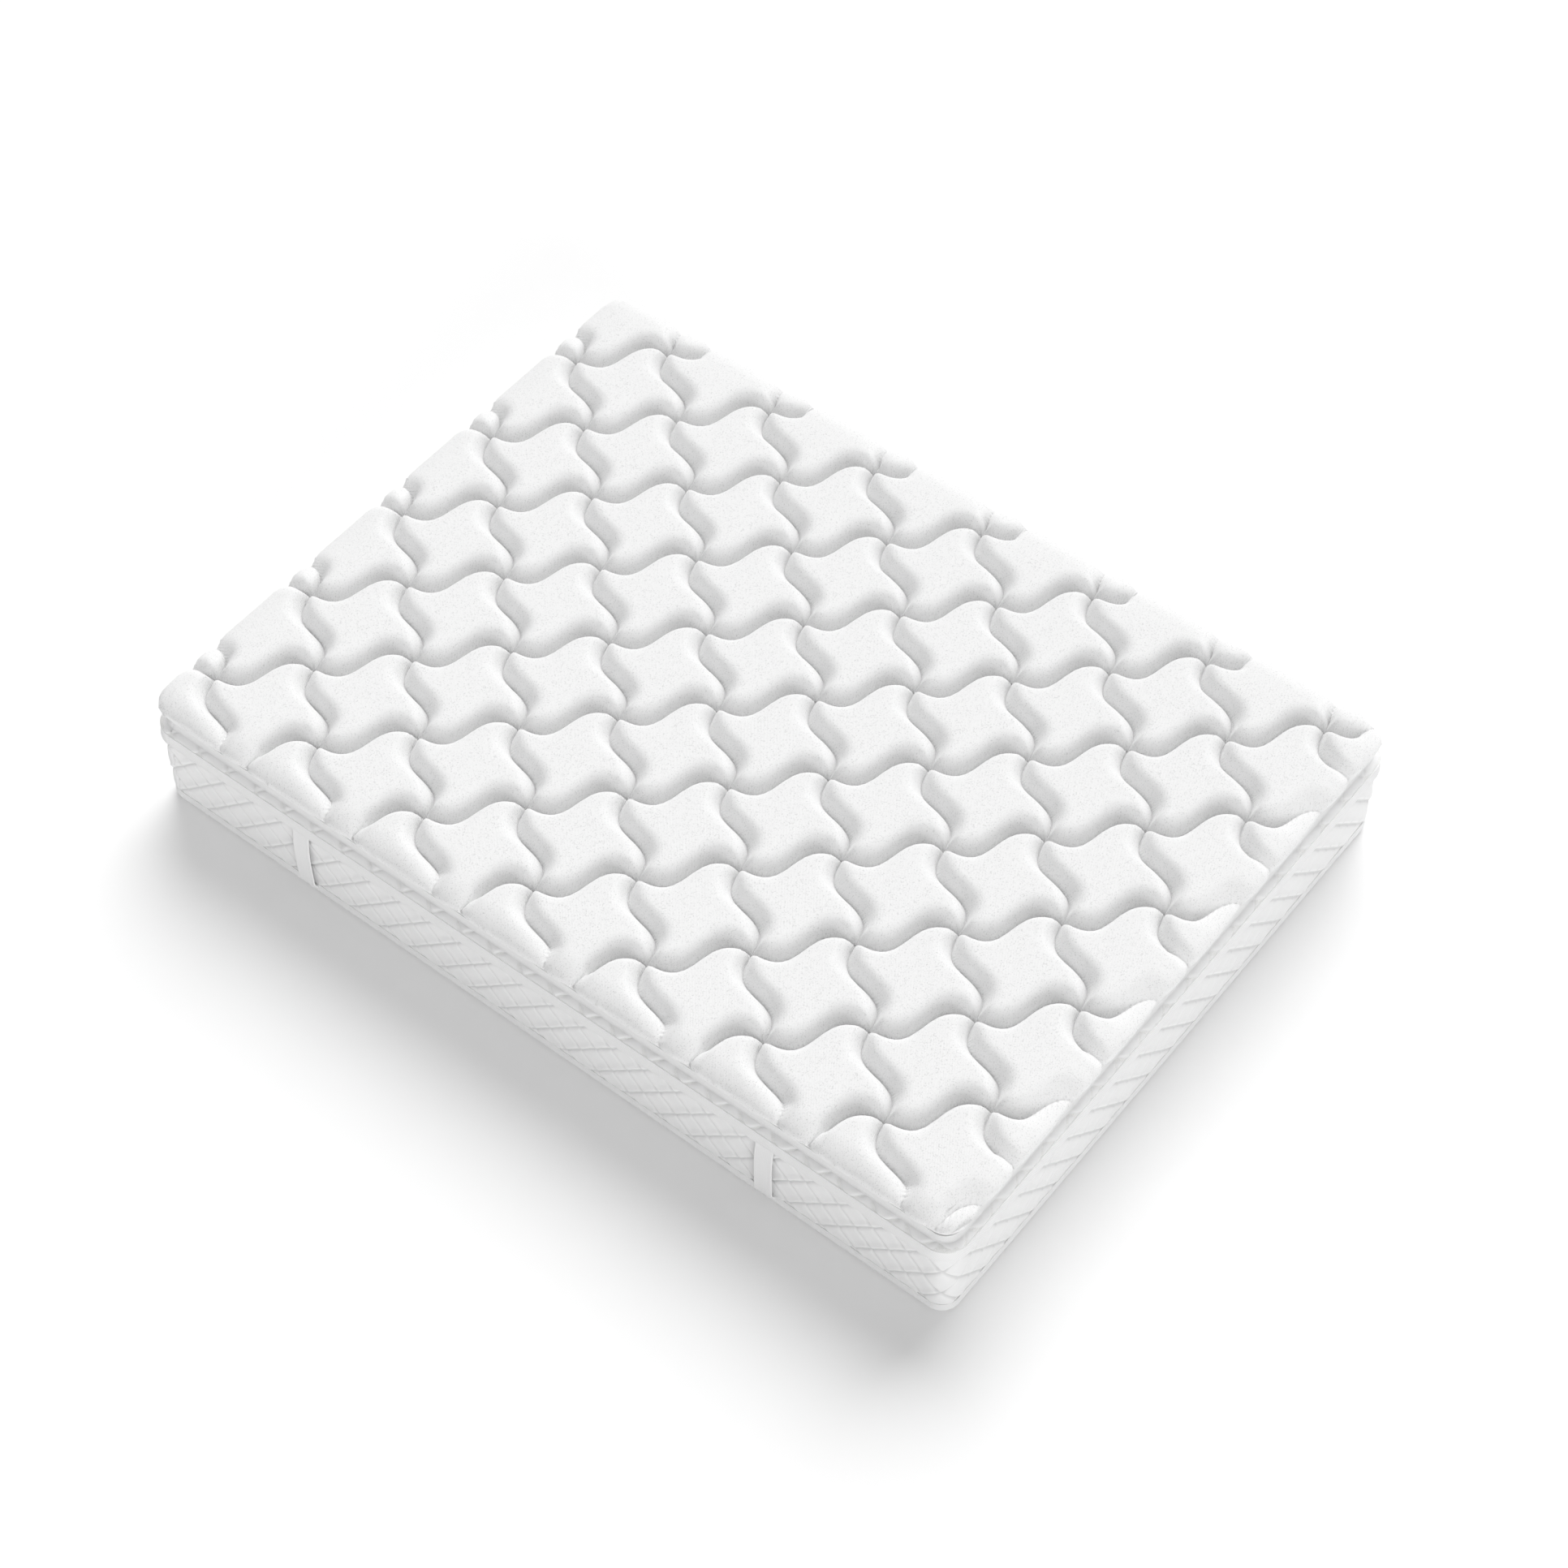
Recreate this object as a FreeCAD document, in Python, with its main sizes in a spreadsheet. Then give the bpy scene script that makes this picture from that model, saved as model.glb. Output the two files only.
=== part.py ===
import FreeCAD, Part
import os
import re
from math import pi

import Sketcher

# Memory foam mattress for a 140 x 190 cm bed.
#
# Frame: millimetres, +Z up, +Y towards the head end, origin at the centre of the underside.
# "Inset" is a distance inwards from the plumb face of the border, and "outset" a distance outwards.
#
# From the floor up: the base cloth and its bound edge, the quilted border with four carrying
# handles, the lower tape, the rounded gusset, the upper tape in the pinch, and the quilted top.
# Inside them a knitted sleeve holds the foam: a support block between four firm rails, a
# transition layer and the memory foam.

doc = FreeCAD.newDocument("memory_foam_mattress")

# ---------------------------------------------------------------- driving dimensions
DRIVING = [
    ("mattress_width", 1400.0, "plumb border face to face, across the bed"),
    ("mattress_length", 1900.0, "plumb border face to face, head to foot"),
    ("mattress_height", 300.0, "underside to the crown of the puffs"),
    ("corner_radius", 40.0, "plan radius of the border's corners"),
    ("base_cloth", 2.5, "thickness of the base cloth"),
    ("edge_round", 12.0, "radius of the bound bottom edge"),
    ("edge_tape_end", 26.0, "upper edge of the bottom edge tape"),
    ("border_start", 26.3, "lower edge of the border cloth"),
    ("fill_start", 13.0, "lower edge of the border's wadding and backing, behind the edge tape"),
    ("border_end", 212.0, "upper edge of the border"),
    ("border_cloth", 2.0, "thickness of the border cloth"),
    ("border_fill", 8.0, "thickness of the border wadding"),
    ("border_scrim", 1.0, "thickness of the border backing"),
    ("sleeve_cloth", 0.8, "thickness of the foam sleeve"),
    ("ease", 0.1, "play between the foam and the sleeve, and the sleeve and the border"),
    ("foam_start", 3.5, "underside of the foam stack"),
    ("core_height", 150.0, "support block and rails"),
    ("rail_width", 75.0, "firm rail, across its section"),
    ("transition_height", 42.5, "transition foam"),
    ("memory_height", 53.0, "memory foam"),
    ("memory_inset", 27.0, "the memory foam stands inside the pinch of the cover"),
    ("tape_gauge", 2.0, "thickness of the tapes"),
    ("slant_back", 1.7, "how far back the upper tape's leaning face is carried, across"),
    ("slant_drop", 1.0, "how far back the upper tape's leaning face is carried, down"),
    ("lower_tape_start", 188.0, "free lower edge of the lower tape"),
    ("lower_tape_end", 214.0, "sewn upper edge of the lower tape"),
    ("lower_tape_flare", 7.0, "outset of the free lower edge"),
    ("lower_tape_root", 4.5, "outset of the sewn upper edge"),
    ("gusset_start", 214.4, "lower edge of the gusset"),
    ("gusset_end", 224.0, "upper edge of the gusset, at the pinch"),
    ("gusset_bulge", 5.0, "outset of the gusset's lower edge"),
    ("gusset_curve", 16.0, "radius of the gusset's rounded face"),
    ("pinch_inset", 11.0, "inset of the upper tape's lower edge"),
    ("upper_tape_start", 224.8, "lower edge of the upper tape"),
    ("upper_tape_end", 235.6, "upper edge of the upper tape"),
    ("upper_tape_inset", 18.0, "inset of the upper tape's upper edge"),
    ("quilt_start", 238.0, "underside of the quilted top's rolled edge"),
    ("quilt_outset", 7.0, "outset of the quilted top's rolled edge"),
    ("quilt_cloth", 2.5, "thickness of the knit ticking"),
    ("quilt_shoulder", 34.0, "radius of the upper edge of the roll"),
    ("quilt_tuck", 22.0, "radius of the lower edge of the roll"),
    ("quilt_scrim", 1.0, "thickness of the quilt backing"),
    ("mouth_reach", 10.0, "how far the ticking's open underside is cut up into the roll"),
    ("handle_offset", 556.0, "half of the distance between the handles of one side"),
    ("handle_shift", 9.0, "how far the pair of handles sits towards the head"),
    ("handle_width", 40.0, "webbing width"),
    ("handle_gauge", 2.5, "webbing thickness"),
    ("handle_stand", 7.0, "finger gap behind the webbing"),
    ("handle_start", 44.0, "lower end of the webbing's free span"),
    ("handle_end", 160.0, "upper end of the webbing's free span"),
    ("webbing_turn", 10.0, "height over which the webbing leaves its lower seam"),
    ("webbing_slope", 34.0, "height over which the webbing slants in to its upper seam"),
    ("seam_gap", 0.3, "clearance between the webbing's end and what it is sewn to"),
]

sheet = doc.addObject("Spreadsheet::Sheet", "Sheet")
for row, (alias, value, meaning) in enumerate(DRIVING, start=1):
    sheet.set(f"A{row}", alias)
    sheet.set(f"B{row}", str(value))
    sheet.set(f"C{row}", meaning)
    sheet.setAlias(f"B{row}", alias)
doc.recompute()


def size(expression):
    """The number that an expression over the sheet comes to."""
    return float(sheet.evalExpression(expression))


def cells(expression):
    """An expression over bare aliases, written out with the sheet's name."""
    return re.sub(r"[a-z_]+", lambda alias: f"Sheet.{alias.group()}", expression)


# Heights and insets that follow from the driving dimensions, as expressions over the sheet.
FOAM_INSET = "border_cloth + border_fill + border_scrim + 2 * ease + sleeve_cloth"
SLEEVE_INSET = "border_cloth + border_fill + border_scrim + ease"
CORE_TOP = "foam_start + core_height"
TRANSITION_TOP = f"{CORE_TOP} + transition_height"
FOAM_TOP = f"{TRANSITION_TOP} + memory_height"
SLEEVE_TOP = f"{FOAM_TOP} + sleeve_cloth"
MOUTH_TOP = "quilt_start + mouth_reach"


# ---------------------------------------------------------------- sketches
def origin_plane(body, role):
    """One of a body's own origin planes."""
    return next(item for item in body.Origin.OriginFeatures if item.Role == role)


def new_sketch(body, name, role="XY_Plane"):
    """An empty sketch on one of the body's origin planes."""
    sketch = body.newObject("Sketcher::SketchObject", name)
    sketch.AttachmentSupport = [(origin_plane(body, role), "")]
    sketch.MapMode = "FlatFace"
    return sketch


def bind(sketch, constraint, expression):
    """Add one dimension to a sketch and tie it to the sheet."""
    index = sketch.addConstraint(constraint)
    sketch.setExpression(f"Constraints[{index}]", cells(expression))


def rounded_loop(sketch, inset):
    """Draw the mattress's plan outline, a rectangle with round corners, moved in by the inset."""
    half_x = size(cells(f"mattress_width / 2 - ( {inset} )"))
    half_y = size(cells(f"mattress_length / 2 - ( {inset} )"))
    radius = size(cells(f"corner_radius - ( {inset} )"))
    flat_x = half_x - radius
    flat_y = half_y - radius
    up = FreeCAD.Vector(0, 0, 1)
    first = sketch.GeometryCount
    runs = [
        ((-flat_x, -half_y), (flat_x, -half_y)),
        ((half_x, -flat_y), (half_x, flat_y)),
        ((flat_x, half_y), (-flat_x, half_y)),
        ((-half_x, flat_y), (-half_x, -flat_y)),
    ]
    for start, end in runs:
        sketch.addGeometry(Part.LineSegment(FreeCAD.Vector(*start, 0), FreeCAD.Vector(*end, 0)))
    centres = [(flat_x, -flat_y), (flat_x, flat_y), (-flat_x, flat_y), (-flat_x, -flat_y)]
    for quarter, centre in enumerate(centres):
        circle = Part.Circle(FreeCAD.Vector(*centre, 0), up, radius)
        start = (quarter - 1) * pi / 2
        sketch.addGeometry(Part.ArcOfCircle(circle, start, start + pi / 2))
    for side in range(4):
        run = first + side
        corner = first + 4 + side
        following = first + (side + 1) % 4
        sketch.addConstraint(Sketcher.Constraint("Tangent", run, 2, corner, 1))
        sketch.addConstraint(Sketcher.Constraint("Tangent", corner, 2, following, 1))
    for side, direction in enumerate(("Horizontal", "Vertical", "Horizontal", "Vertical")):
        sketch.addConstraint(Sketcher.Constraint(direction, first + side))
    corner = first + 4
    for step in range(3):
        sketch.addConstraint(Sketcher.Constraint("Equal", corner + step, corner + step + 1))
    sketch.addConstraint(Sketcher.Constraint("Symmetric", corner, 3, corner + 2, 3, -1, 1))
    bind(sketch, Sketcher.Constraint("Radius", corner, radius), f"corner_radius - ( {inset} )")
    bind(
        sketch,
        Sketcher.Constraint("DistanceX", corner + 3, 3, corner, 3, 2 * flat_x),
        "mattress_width - 2 * corner_radius",
    )
    bind(
        sketch,
        Sketcher.Constraint("DistanceY", corner, 3, corner + 1, 3, 2 * flat_y),
        "mattress_length - 2 * corner_radius",
    )


def polygon_loop(sketch, corners, bows=None):
    """Draw an outline, counterclockwise, whose corners are pairs of expressions.

    bows maps an edge's number to the expression of a radius and whether it bows outwards.
    """
    bows = bows or {}
    points = [FreeCAD.Vector(size(cells(a)), size(cells(b)), 0) for a, b in corners]
    count = len(points)
    backwards = {edge for edge, (_, outwards) in bows.items() if not outwards}
    for edge in range(count):
        start = points[edge]
        end = points[(edge + 1) % count]
        if edge in bows:
            radius, outwards = bows[edge]
            sketch.addGeometry(bowed_edge(start, end, size(cells(radius)), outwards))
        else:
            sketch.addGeometry(Part.LineSegment(start, end))
    for edge in range(count):
        following = (edge + 1) % count
        end_of_edge = 1 if edge in backwards else 2
        start_of_next = 2 if following in backwards else 1
        join = Sketcher.Constraint("Coincident", edge, end_of_edge, following, start_of_next)
        sketch.addConstraint(join)
    for edge, (across, along) in enumerate(corners):
        start_of_edge = 2 if edge in backwards else 1
        place = points[edge]
        span_x = Sketcher.Constraint("DistanceX", -1, 1, edge, start_of_edge, place.x)
        span_y = Sketcher.Constraint("DistanceY", -1, 1, edge, start_of_edge, place.y)
        bind(sketch, span_x, across)
        bind(sketch, span_y, along)
    for edge, (radius, _) in bows.items():
        bind(sketch, Sketcher.Constraint("Radius", edge, size(cells(radius))), radius)


def bowed_edge(start, end, radius, outwards):
    """An arc between two corners of an outline, bowed out of it or into it."""
    chord = end - start
    middle = (start + end) * 0.5
    out = FreeCAD.Vector(chord.y, -chord.x, 0).normalize()
    rise = radius - (radius ** 2 - (chord.Length / 2) ** 2) ** 0.5
    if outwards:
        return Part.Arc(start, middle + out * rise, end)
    return Part.Arc(end, middle - out * rise, start)


# ---------------------------------------------------------------- solids
def new_body(label):
    """A PartDesign body whose Label is the node's name."""
    body = doc.addObject("PartDesign::Body", label)
    body.Label = label
    return body


def pad(body, sketch, name, height):
    """Pad a sketch upwards by an expression's value."""
    feature = body.newObject("PartDesign::Pad", name)
    feature.Profile = sketch
    feature.setExpression("Length", cells(height))
    sketch.Visibility = False
    body.Tip = feature
    return feature


def plate(label, inset, bottom, top, hole_inset=None):
    """A slab in the mattress's plan outline, or a band when it has a hole_inset."""
    body = new_body(label)
    sketch = new_sketch(body, f"{label}_plan")
    rounded_loop(sketch, inset)
    if hole_inset is not None:
        rounded_loop(sketch, hole_inset)
    sketch.setExpression("AttachmentOffset.Base.z", cells(bottom))
    pad(body, sketch, f"{label}_pad", f"( {top} ) - ( {bottom} )")
    doc.recompute()
    return body


def edges_at(shape, height):
    """Names of the edges that lie flat at one height."""
    names = []
    for number, edge in enumerate(shape.Edges, start=1):
        box = edge.BoundBox
        if abs(box.ZMin - height) < 1e-3 and abs(box.ZMax - height) < 1e-3:
            names.append(f"Edge{number}")
    return names


def fillet(body, name, edges, radius):
    """Round named edges of a body's tip to an expression's value."""
    base = body.Tip
    feature = body.newObject("PartDesign::Fillet", name)
    feature.Base = (base, edges)
    feature.Radius = size(cells(radius))
    feature.setExpression("Radius", cells(radius))
    body.Tip = feature
    doc.recompute()
    return feature


def pillow(label, inset, bottom, top, tuck, shoulder):
    """A slab whose lower and upper edges are rolled."""
    body = plate(label, inset, bottom, top)
    lower = edges_at(body.Shape, size(cells(bottom)))
    fillet(body, f"{label}_tuck", lower, tuck)
    upper = edges_at(body.Shape, size(cells(top)))
    fillet(body, f"{label}_shoulder", upper, shoulder)
    return body


def swept_band(label, section, bows=None):
    """A band that carries a section, drawn as (outset, height), round the mattress."""
    body = new_body(label)
    path = new_sketch(body, f"{label}_path")
    rounded_loop(path, "0")
    profile = new_sketch(body, f"{label}_section", "XZ_Plane")
    wall = "mattress_width / 2"
    corners = [(f"{wall} + ( {out} )", height) for out, height in section]
    polygon_loop(profile, corners, bows)
    doc.recompute()
    sweep = body.newObject("PartDesign::AdditivePipe", f"{label}_sweep")
    sweep.Profile = profile
    sweep.Spine = (path, [f"Edge{number}" for number in range(1, 9)])
    body.Tip = sweep
    doc.recompute()
    return body


def cut(label, base, tool):
    """What is left of one object when another is taken out of it."""
    feature = doc.addObject("Part::Cut", label)
    feature.Label = label
    feature.Base = base
    feature.Tool = tool
    doc.recompute()
    return feature


def fuse(label, pieces):
    """Several objects joined into one."""
    feature = doc.addObject("Part::MultiFuse", label)
    feature.Label = label
    feature.Shapes = pieces
    doc.recompute()
    return feature


def box(label, low, high):
    """A block between two corners, each given as three expressions."""
    feature = doc.addObject("Part::Box", label)
    feature.Label = label
    for side, start, end in zip(("Length", "Width", "Height"), low, high):
        feature.setExpression(side, cells(f"( {end} ) - ( {start} )"))
    for axis, start in zip("xyz", low):
        feature.setExpression(f"Placement.Base.{axis}", cells(start))
    doc.recompute()
    return feature


# ---------------------------------------------------------------- base and border
def build_base():
    """Base cloth, and the tape that binds it to the border round the bottom edge."""
    cloth = plate("bottom_panel", "edge_round", "0", "base_cloth")
    binding = swept_band(
        "bottom_edge_tape",
        [
            ("0 - edge_round", "0"),
            ("0", "edge_round"),
            ("0", "edge_tape_end"),
            ("0 - tape_gauge", "edge_tape_end"),
            ("0 - tape_gauge", "edge_round"),
            ("0 - edge_round", "tape_gauge"),
        ],
        bows={0: ("edge_round", True), 4: ("edge_round - tape_gauge", False)},
    )
    return [cloth, binding]


def build_border():
    """Quilted border: its cloth, wadding and backing, one band inside another."""
    scrim = "border_cloth + border_fill"
    inside = "border_cloth + border_fill + border_scrim"
    layers = [
        ("border_ticking", "0", "border_cloth", "border_start"),
        ("border_wadding", "border_cloth", scrim, "fill_start"),
        ("border_backing", scrim, inside, "fill_start"),
    ]
    return [
        plate(label, outer, start, "border_end", hole_inset=inner)
        for label, outer, inner, start in layers
    ]


# ---------------------------------------------------------------- tapes and gusset
def build_tapes():
    """The flat lower tape, flared off the border, and the narrow tape in the pinch."""
    lower = swept_band(
        "lower_tape",
        [
            ("lower_tape_flare - tape_gauge", "lower_tape_start"),
            ("lower_tape_flare", "lower_tape_start"),
            ("lower_tape_root", "lower_tape_end"),
            ("lower_tape_root - tape_gauge", "lower_tape_end"),
        ],
    )
    upper = swept_band(
        "upper_tape",
        [
            ("0 - pinch_inset", "upper_tape_start"),
            ("0 - upper_tape_inset", "upper_tape_end"),
            ("0 - upper_tape_inset - slant_back", "upper_tape_end - slant_drop"),
            ("0 - pinch_inset - slant_back", "upper_tape_start - slant_drop"),
        ],
    )
    return [lower, upper]


def build_gusset():
    """The rounded gusset cloth over its own wadding, which also packs the pinch."""
    cloth_end = "0 - pinch_inset + seam_gap"
    cloth = swept_band(
        "gusset_ticking",
        [
            ("gusset_bulge - border_cloth", "gusset_start"),
            ("gusset_bulge", "gusset_start"),
            (cloth_end, "gusset_end"),
            (cloth_end, "gusset_end - border_cloth"),
        ],
        bows={1: ("gusset_curve", True), 3: ("gusset_curve - border_cloth", False)},
    )
    foam_side = "0 - memory_inset + sleeve_cloth + 2 * ease"
    behind_border = "0 - border_cloth - border_fill - border_scrim - ease"
    face = "lower_tape_root - tape_gauge - seam_gap"
    shelf = "border_end + seam_gap"
    fill = swept_band(
        "gusset_wadding",
        [
            (foam_side, f"{TRANSITION_TOP} + sleeve_cloth + ease"),
            (behind_border, f"{TRANSITION_TOP} + sleeve_cloth + ease"),
            (behind_border, shelf),
            (face, shelf),
            (face, "gusset_start"),
            (cloth_end, "gusset_end - border_cloth - seam_gap"),
            (foam_side, "gusset_end - border_cloth - seam_gap"),
        ],
        bows={4: ("gusset_curve - border_cloth", True)},
    )
    return [cloth, fill]


# ---------------------------------------------------------------- quilted top
def build_quilt():
    """Knit ticking rolled over the edge, the fibre fill under it, and the scrim below that."""
    outset = "0 - quilt_outset"
    ticking_form = pillow(
        "ticking_form", outset, "quilt_start", "mattress_height", "quilt_tuck", "quilt_shoulder"
    )
    fill_shape = (
        f"{outset} + quilt_cloth",
        "quilt_start + quilt_cloth",
        "mattress_height - quilt_cloth",
        "quilt_tuck - quilt_cloth",
        "quilt_shoulder - quilt_cloth",
    )
    hollow = pillow("ticking_hollow", *fill_shape)
    mouth = plate("ticking_mouth", "upper_tape_inset", "upper_tape_end", MOUTH_TOP)
    ticking = cut("quilt_ticking", ticking_form, fuse("ticking_inside", [hollow, mouth]))
    fill_form = pillow("fill_form", *fill_shape)
    scrim_top = f"{SLEEVE_TOP} + quilt_scrim + ease"
    tray = plate("fill_tray", "memory_inset - sleeve_cloth - 3 * ease", "quilt_start", scrim_top)
    fill = cut("quilt_wadding", fill_form, tray)
    scrim = plate("quilt_backing", "memory_inset", f"{SLEEVE_TOP} + ease", scrim_top)
    return [ticking, fill, scrim]


# ---------------------------------------------------------------- foam stack
def build_foam():
    """Support block between its rails, transition foam and memory foam, in their sleeve."""
    side = f"mattress_width / 2 - ( {FOAM_INSET} )"
    end = f"mattress_length / 2 - ( {FOAM_INSET} )"
    inner_side = f"{side} - rail_width"
    inner_end = f"{end} - rail_width"
    core = box(
        "base_foam_core",
        (f"0 - ( {inner_side} )", f"0 - ( {inner_end} )", "foam_start"),
        (inner_side, inner_end, CORE_TOP),
    )
    outline = plate("rail_outline", FOAM_INSET, "foam_start", CORE_TOP)
    rails = []
    minus_side = f"0 - ( {side} )"
    minus_end = f"0 - ( {end} )"
    minus_inner_side = f"0 - ( {inner_side} )"
    minus_inner_end = f"0 - ( {inner_end} )"
    limits = {
        "rail_left": ((minus_side, minus_end), (minus_inner_side, end)),
        "rail_right": ((inner_side, minus_end), (side, end)),
        "rail_head": ((minus_inner_side, inner_end), (inner_side, end)),
        "rail_foot": ((minus_inner_side, minus_end), (inner_side, minus_inner_end)),
    }
    for label, (low, high) in limits.items():
        blank = box(f"{label}_blank", (*low, "foam_start"), (*high, CORE_TOP))
        rail = doc.addObject("Part::Common", label)
        rail.Label = label
        rail.Base = blank
        rail.Tool = outline
        rails.append(rail)
    doc.recompute()
    transition = plate("transition_foam_layer", FOAM_INSET, CORE_TOP, TRANSITION_TOP)
    memory = plate("memory_foam_layer", "memory_inset", TRANSITION_TOP, FOAM_TOP)
    return [core, *rails, transition, memory]


def build_sleeve():
    """The knitted sleeve: a closed skin round the stepped foam stack."""
    shoulder = f"{TRANSITION_TOP} + sleeve_cloth"
    outside = fuse(
        "sleeve_outside",
        [
            plate("sleeve_outside_low", SLEEVE_INSET, "foam_start - sleeve_cloth", shoulder),
            plate(
                "sleeve_outside_high",
                "memory_inset - ease - sleeve_cloth",
                TRANSITION_TOP,
                SLEEVE_TOP,
            ),
        ],
    )
    inside = fuse(
        "sleeve_inside",
        [
            plate("sleeve_inside_low", f"{FOAM_INSET} - ease", "foam_start", TRANSITION_TOP),
            plate("sleeve_inside_high", "memory_inset - ease", CORE_TOP, FOAM_TOP),
        ],
    )
    return [cut("foam_sleeve", outside, inside)]


# ---------------------------------------------------------------- handles
def strap_section(body, label, corners, side, end):
    """Pad a strap's side view across its width, on one long side and at one end."""
    sketch = new_sketch(body, f"{label}_side", "XZ_Plane")
    wall = "mattress_width / 2"
    polygon_loop(sketch, [(f"{side} * ( {wall} + {out} )", height) for out, height in corners])
    centre = f"{end} * handle_offset + handle_shift"
    near_edge = f"0 - ( {centre} ) - handle_width / 2"
    sketch.setExpression("AttachmentOffset.Base.z", cells(near_edge))
    return pad(body, sketch, f"{label}_pad", "handle_width")


def build_handles():
    """Four upright webbing handles: a free span that pulls out, and its two sewn ends."""
    pieces = []
    back = "handle_stand"
    front = "handle_stand + handle_gauge"
    for side_name, side in (("left", -1), ("right", 1)):
        for end_name, end in (("head", 1), ("foot", -1)):
            label = f"handle_{side_name}_{end_name}"
            span = new_body(label)
            free = [
                (back, "handle_start"),
                (front, "handle_start"),
                (front, "handle_end"),
                (back, "handle_end"),
            ]
            strap_section(span, label, free, side, end)
            low = new_body(f"{label}_low_end")
            low_end = [
                ("seam_gap", "border_start"),
                ("seam_gap + handle_gauge", "border_start"),
                (front, "handle_start - webbing_turn / 2"),
                (front, "handle_start - seam_gap"),
                (back, "handle_start - seam_gap"),
                ("seam_gap", "handle_start - webbing_turn"),
            ]
            strap_section(low, f"{label}_low_end", low_end, side, end)
            high = new_body(f"{label}_high_end")
            high_end = [
                (back, "handle_end + seam_gap"),
                (front, "handle_end + seam_gap"),
                ("seam_gap + border_cloth", "handle_end + webbing_slope"),
                ("seam_gap + border_cloth", "border_end"),
                ("seam_gap", "border_end"),
                ("seam_gap", "handle_end + webbing_slope - handle_gauge"),
            ]
            strap_section(high, f"{label}_high_end", high_end, side, end)
            doc.recompute()
            ends = doc.addObject("Part::Compound", f"{label}_ends")
            ends.Label = f"{label}_ends"
            ends.Links = [low, high]
            pieces.extend([span, ends])
    doc.recompute()
    return pieces


# ---------------------------------------------------------------- checks and files
def main():
    """Build every piece, check the document, and write one STEP file for each piece."""
    pieces = []
    for build in (
        build_base,
        build_border,
        build_tapes,
        build_gusset,
        build_quilt,
        build_foam,
        build_sleeve,
        build_handles,
    ):
        pieces.extend(build())
    doc.recompute()
    for item in doc.Objects:
        if "Invalid" in item.State or "Error" in item.State:
            raise RuntimeError(f"{item.Label} did not recompute: {item.State}")
    for piece in pieces:
        if piece.Shape.isNull() or not piece.Shape.isValid():
            raise RuntimeError(f"{piece.Label} has no valid shape")
    os.makedirs("parts", exist_ok=True)
    for piece in pieces:
        piece.Shape.exportStep(f"parts/{piece.Label}.step")
        bounds = piece.Shape.BoundBox
        litres = piece.Shape.Volume / 1e6
        print(f"{piece.Label:24s} {litres:8.3f} l, z {bounds.ZMin:.1f} to {bounds.ZMax:.1f}")


main()
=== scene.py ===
"""Memory foam mattress: its quilted cover, tapes, handles and foam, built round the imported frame.

Lengths are in metres, +Z is up, +Y points to the head end, and the origin is the centre of the
underside. An inset is a distance inwards from the plumb face of the border, and an outset is a
distance outwards from it.
"""

from __future__ import annotations

import logging
from collections.abc import Callable
from dataclasses import dataclass
from enum import Enum
from math import asin, ceil, cos, pi, radians, sin, tau

import bmesh
import bpy
import numpy as np
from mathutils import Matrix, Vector

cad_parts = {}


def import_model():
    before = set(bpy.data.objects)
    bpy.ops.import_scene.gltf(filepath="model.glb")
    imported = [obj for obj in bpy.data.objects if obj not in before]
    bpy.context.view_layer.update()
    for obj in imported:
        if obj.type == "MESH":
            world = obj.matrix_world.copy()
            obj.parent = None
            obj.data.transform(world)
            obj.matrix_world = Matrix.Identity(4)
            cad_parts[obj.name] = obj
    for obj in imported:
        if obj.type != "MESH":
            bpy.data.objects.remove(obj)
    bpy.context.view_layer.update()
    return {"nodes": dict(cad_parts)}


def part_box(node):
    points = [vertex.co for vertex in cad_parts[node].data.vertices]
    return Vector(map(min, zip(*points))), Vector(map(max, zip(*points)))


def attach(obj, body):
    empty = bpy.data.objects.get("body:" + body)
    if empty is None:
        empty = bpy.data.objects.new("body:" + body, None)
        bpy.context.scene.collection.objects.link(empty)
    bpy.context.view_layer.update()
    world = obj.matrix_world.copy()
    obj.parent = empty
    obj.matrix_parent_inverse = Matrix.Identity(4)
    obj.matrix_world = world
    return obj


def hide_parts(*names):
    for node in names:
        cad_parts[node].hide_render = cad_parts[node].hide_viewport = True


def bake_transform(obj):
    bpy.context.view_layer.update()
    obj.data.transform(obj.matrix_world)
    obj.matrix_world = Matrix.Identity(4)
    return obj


LOG = logging.getLogger("mattress")
ROOT = "mattress"
MM = 0.001

Triple = tuple[float, float, float]
Colour = Triple
Field = Callable[[np.ndarray], np.ndarray]
Socket = bpy.types.NodeSocket


class Slot(Enum):
    """The finishes that the record names, one for each kind of cloth, tape and foam."""

    KNIT_TICKING = "knit_ticking"
    BORDER_CLOTH = "quilted_border_cloth"
    RIBBED_TAPE = "ribbed_tape"
    HANDLE_WEBBING = "handle_webbing"
    BASE_CLOTH = "base_cloth"
    SCRIM = "nonwoven_scrim"
    SLEEVE_KNIT = "sleeve_knit"
    FIBRE_WADDING = "fibre_wadding"
    MEMORY_FOAM = "memory_foam"
    TRANSITION_FOAM = "transition_foam"
    SUPPORT_FOAM = "support_foam"
    RAIL_FOAM = "rail_foam"


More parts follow.
